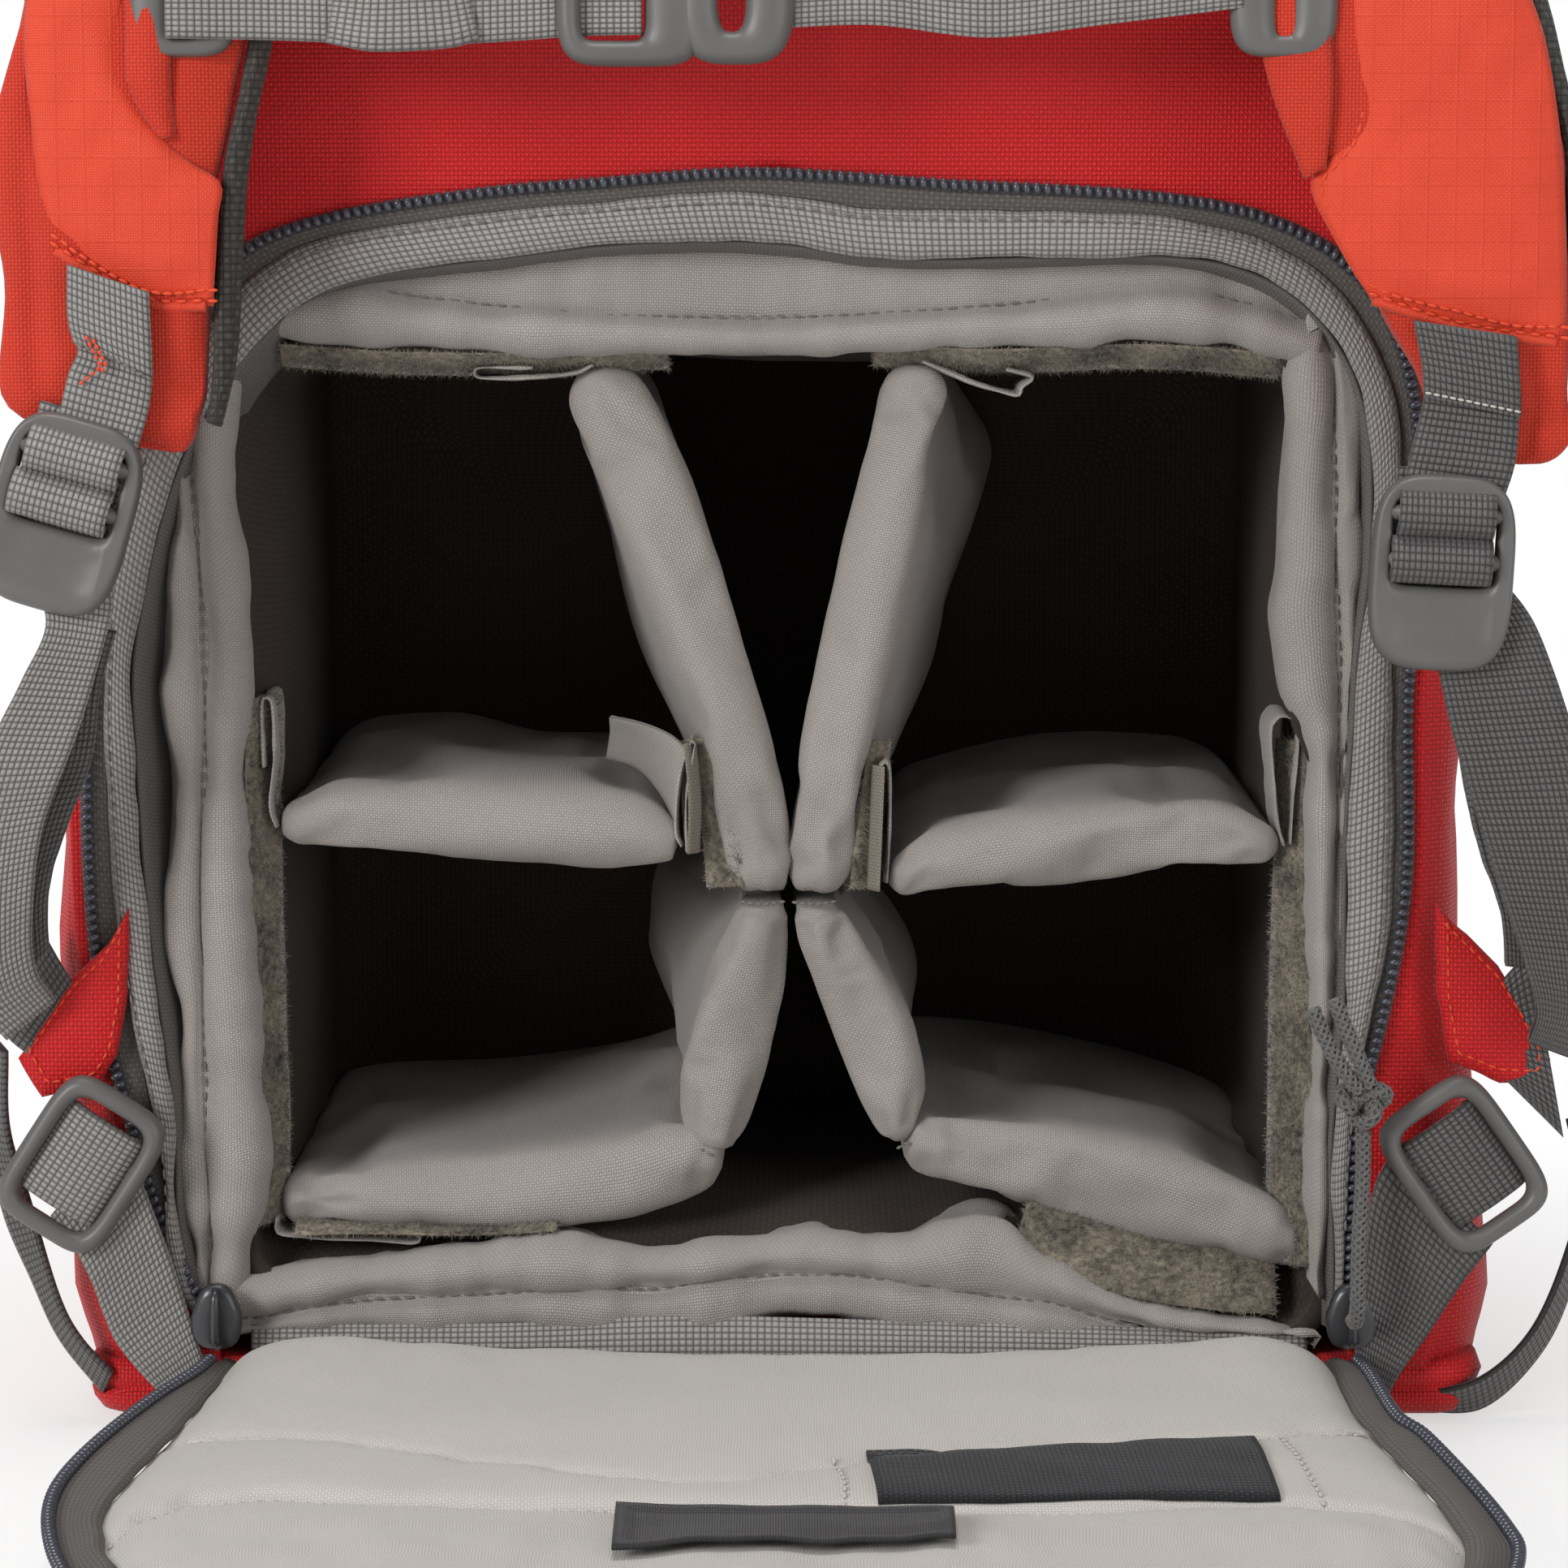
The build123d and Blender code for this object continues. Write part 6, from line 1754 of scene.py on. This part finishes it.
zip_slider("slider_left", leaning(-118.5, -82.3, 24, 0), "left_slider", "left_zip_slider")
zip_slider("slider_right", leaning(118.5, -82.3, 24, 0), "right_slider", "right_zip_slider")
zip_slider(
    "slider_lid", lambda u, v, n: Vector((78 + v, 82.3 + n, 426.5 + u)), "lid_slider_body", "lid_slider")
zip_slider(
    "slider_pocket", lambda u, v, n: Vector((75 + v, 104.4 + n, 286 + u)), "pocket_slider_body",
    "pocket_slider")
for name, line, body in (
        ("lid_pull", [(85, 88.0, 426.5), (93, 88.2, 424.5), (102, 88.0, 421), (110, 87.6, 416)],
         "lid_slider_body"),
        ("pocket_pull", [(82, 110.2, 286), (90, 110.4, 284), (99, 110.0, 280), (107, 109.4, 274)],
         "pocket_slider_body")):
    place_piece(ribbon(name, line, (0, 0, 1), 5, 1.6, piping, count=16), body)

# 3 mm nylon cord braided of sixteen yarns over a soft core. Ten coarser ones are drawn, so
# that they show, and their fibres give it a fuzzy, slightly silky grey.
braid_nylon, tree, shader, yarn = flecked("braided_nylon_cord_grey", 2200.0, 2.0, "#3E3D3C", "#787673", 0.55)
fuzz = add(tree, "ShaderNodeBump", {"Strength": 0.4, "Distance": 0.0002, "Height": yarn})
feed(tree, shader, {"Normal": fuzz, "Sheen Weight": 0.3})


def nurbs_points(points):
    """Points in millimetres along a NURBS spline of order 3 with these control points in metres."""
    curve = bpy.data.curves.new("route", "CURVE")
    curve.dimensions = "3D"
    spline = curve.splines.new("NURBS")
    spline.points.add(len(points) - 1)
    for slot, point in zip(spline.points, points):
        slot.co = (*point, 1)
    spline.order_u = 3
    spline.use_endpoint_u = True
    curve.resolution_u = 14
    holder = bpy.data.objects.new("route", curve)
    bpy.context.collection.objects.link(holder)
    mesh = bpy.data.meshes.new_from_object(holder)
    found = [vertex.co * 1000 for vertex in mesh.vertices]
    bpy.data.objects.remove(holder)
    return found


def braid(name, path, across=3.0):
    """Yarns laid both ways round a core along a path, over and under in turn."""
    pitch, yarns, step = 8.0, 5, 0.55
    length = sum((q - p).length for p, q in zip(path, path[1:]))
    frames = swept(curve_through(path, max(12, int(length / step))))
    points, faces = [], []

    def skin(centres, radius, sides):
        """A closed tube, flattened along its third direction."""
        base = len(points)
        turns = [2 * pi * j / sides for j in range(sides)]
        for centre, a_axis, b_axis in centres:
            points.extend(centre + a_axis * cos(a) * radius + b_axis * sin(a) * radius * 0.75 for a in turns)
        for k in range(len(centres) - 1):
            low, high = base + k * sides, base + (k + 1) * sides
            faces.extend(
                (low + j, low + (j + 1) % sides, high + (j + 1) % sides, high + j) for j in range(sides))
        last = base + (len(centres) - 1) * sides
        faces.append(tuple(range(base + sides - 1, base - 1, -1)))
        faces.append(tuple(range(last, last + sides)))

    skin(frames, across * 0.43, 8)
    for way in (1, -1):
        for yarn_number in range(yarns):
            run = []
            for k, (p, a, b) in enumerate(frames):
                along = k * step
                angle = way * 2 * pi * along / pitch + 2 * pi * yarn_number / yarns
                over = way * sin(2 * yarns * 2 * pi * along / pitch / 2 + yarn_number * pi)
                out = a * cos(angle) + b * sin(angle)
                round_way = b * cos(angle) - a * sin(angle)
                run.append((p + out * (across / 2 - 0.2 + 0.14 * over), round_way, out))
            skin(run, 0.5, 6)
    uvs = [(0, 0)] * sum(len(face) for face in faces)
    return tidy_normals(finish_mesh(name, points, faces, uvs, braid_nylon))


cord_route = [
    (0.1185, -0.0878, 0.024), (0.1185, -0.0963, 0.024), (0.1181, -0.0984, 0.043), (0.1191, -0.0974, 0.057),
    (0.1187, -0.0980, 0.066)]
cord_line = nurbs_points(cord_route)
pull_cord = braid("pull_cord", cord_line)
trefoil = [
    Vector(
        (118.6 + 1.62 * (sin(t) + 2 * sin(2 * t)), -99.2 + 1.15 * sin(3 * t),
         72.2 + 1.3 * (cos(t) - 2 * cos(2 * t))))
    for t in (2 * pi * k / 48 for k in range(47))]
knot = braid("pull_knot", trefoil, 3.2)
tail_one = braid(
    "pull_tail_long",
    [Vector((117.6, -101.4, 75)), Vector((113.6, -102.2, 80)), Vector((110.2, -101.8, 86)),
     Vector((107.6, -101.6, 92))])
tail_two = braid(
    "pull_tail_short",
    [Vector((119.6, -101.2, 76)), Vector((117.0, -102.4, 82)), Vector((114.2, -102.0, 88.5)),
     Vector((112.0, -101.8, 94))])
for piece, nodes in (
        (pull_cord, ("right_pull_cord",)), (knot, ("right_pull_knot",)), (tail_one, ()), (tail_two, ())):
    place_piece(piece, "right_slider", nodes)


# --------------------------------------------------- floor and back of the top bay
# The lid's compartment stands on a board in dark lining, and a black polyethylene
# sheet stiffens the harness side behind the cloth.
lining_dark = woven("compartment_lining_dark", "#4A4643", "#2A2725", 0.8, 0.8, 0.4, 0.8, 0.1, 0.15)
board_rings = [
    [Vector((x, y, z)) for x, y in rounded(0, 0, 141 - inset, 72 - inset, 8, 96)] for inset,
    z in ((3, 248.2), (0.6, 248.8), (0, 250), (0.6, 251.3), (3, 252), (20, 252.2), (45, 252.3),
        (65, 252.3))]
board_rings.append([Vector((p.x, p.y * 0.05, 252.3)) for p in board_rings[-1]])
board = box_map(tidy_normals(loft("compartment_board", board_rings, lining_dark, caps=True)))
place_piece(board, "root", ("compartment_floor",))
sheet_black = flecked("polyethylene_sheet_black", 600.0, 2.0, "#1B1B1C", "#2A2A2B", 0.5)[0]
for holder_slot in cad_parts["frame_sheet"].material_slots:
    holder_slot.material = sheet_black

# ---------------------------------------------------------- floor, light, camera
# A plain pale floor, soft light from the upper left and in front, and a long lens
# a little above the opening.
floor_cloth, tree, shader = new_material("pale_floor")
seen = add(tree, "ShaderNodeLightPath")
bright = add(tree, "ShaderNodeEmission", {"Color": (1, 1, 1, 1), "Strength": 1.0})
direct = add(
    tree, "ShaderNodeMath", {0: seen.outputs["Is Camera Ray"], 1: seen.outputs["Is Glossy Ray"]},
    operation="MAXIMUM")
through = add(
    tree, "ShaderNodeMath", {0: direct, 1: seen.outputs["Is Transmission Ray"]}, operation="MAXIMUM")
spot = add(tree, "ShaderNodeTexCoord")
centre = add(
    tree, "ShaderNodeVectorMath", {0: spot.outputs["Object"], 1: (0, -0.05, 0)}, operation="SUBTRACT")
away = add(tree, "ShaderNodeVectorMath", {0: centre}, operation="LENGTH")
fade = add(tree, "ShaderNodeMapRange", {0: away.outputs["Value"], 1: 0.12, 2: 0.34, 3: 0.55, 4: 1.0})
share = add(tree, "ShaderNodeMath", {0: through, 1: fade}, operation="MULTIPLY")
both = add(tree, "ShaderNodeMixShader", {0: share, 1: shader, 2: bright})
feed(tree, tree.nodes["Material Output"], {"Surface": both})
feed(tree, shader, {"Base Color": linear("#F4F3F1"), "Roughness": 0.9})
floor_mesh = bpy.data.meshes.new("pale_floor")
half = 2.2
floor_mesh.from_pydata(
    [(-half, -half, 0), (half, -half, 0), (half, half, 0), (-half, half, 0)], [], [(0, 1, 2, 3)])
floor_mesh.materials.append(floor_cloth)
pale_floor = bpy.data.objects.new("pale_floor", floor_mesh)
bpy.context.collection.objects.link(pale_floor)

world = bpy.data.worlds.new("soft_room")
bpy.context.scene.world = world
world.use_nodes = True
room = world.node_tree
path_kind = add(room, "ShaderNodeLightPath")
eye = add(
    room, "ShaderNodeMath",
    {0: path_kind.outputs["Is Camera Ray"], 1: path_kind.outputs["Is Transmission Ray"]},
    operation="MAXIMUM")
level = add(room, "ShaderNodeMath", {0: eye, 1: 0.72, 2: 0.28}, operation="MULTIPLY_ADD")
feed(room, room.nodes["Background"], {"Color": (1, 1, 1, 1), "Strength": level})


def soft_light(name, at, aim, size, power):
    """A square area light at a place, aimed at another."""
    lamp = bpy.data.lights.new(name, "AREA")
    lamp.shape = "SQUARE"
    lamp.size = size
    lamp.energy = power
    holder = bpy.data.objects.new(name, lamp)
    holder.location = at
    holder.rotation_euler = (Vector(aim) - Vector(at)).to_track_quat("-Z", "Y").to_euler()
    bpy.context.collection.objects.link(holder)


soft_light("key_light", (-1.5, -1.8, 0.95), (0, -0.08, 0.2), 0.8, 34)
soft_light("fill_light", (1.3, -1.5, 0.5), (0, -0.08, 0.2), 0.9, 7)
soft_light("top_light", (-0.1, -0.35, 2.1), (0, -0.2, 0.1), 0.8, 21)

camera_data = bpy.data.cameras.new("camera")
focal_length, sensor, looks_down = 111.8, 36, 7.1
camera_data.lens = focal_length
camera_data.sensor_width = sensor
camera_data.clip_start = 0.01
camera = bpy.data.objects.new("camera", camera_data)
camera.location = (0, -1.08, 0.26)
camera.rotation_euler = (radians(90 - looks_down), 0, 0)
bpy.context.collection.objects.link(camera)
bpy.context.scene.camera = camera
bpy.context.scene.view_settings.view_transform = "Standard"
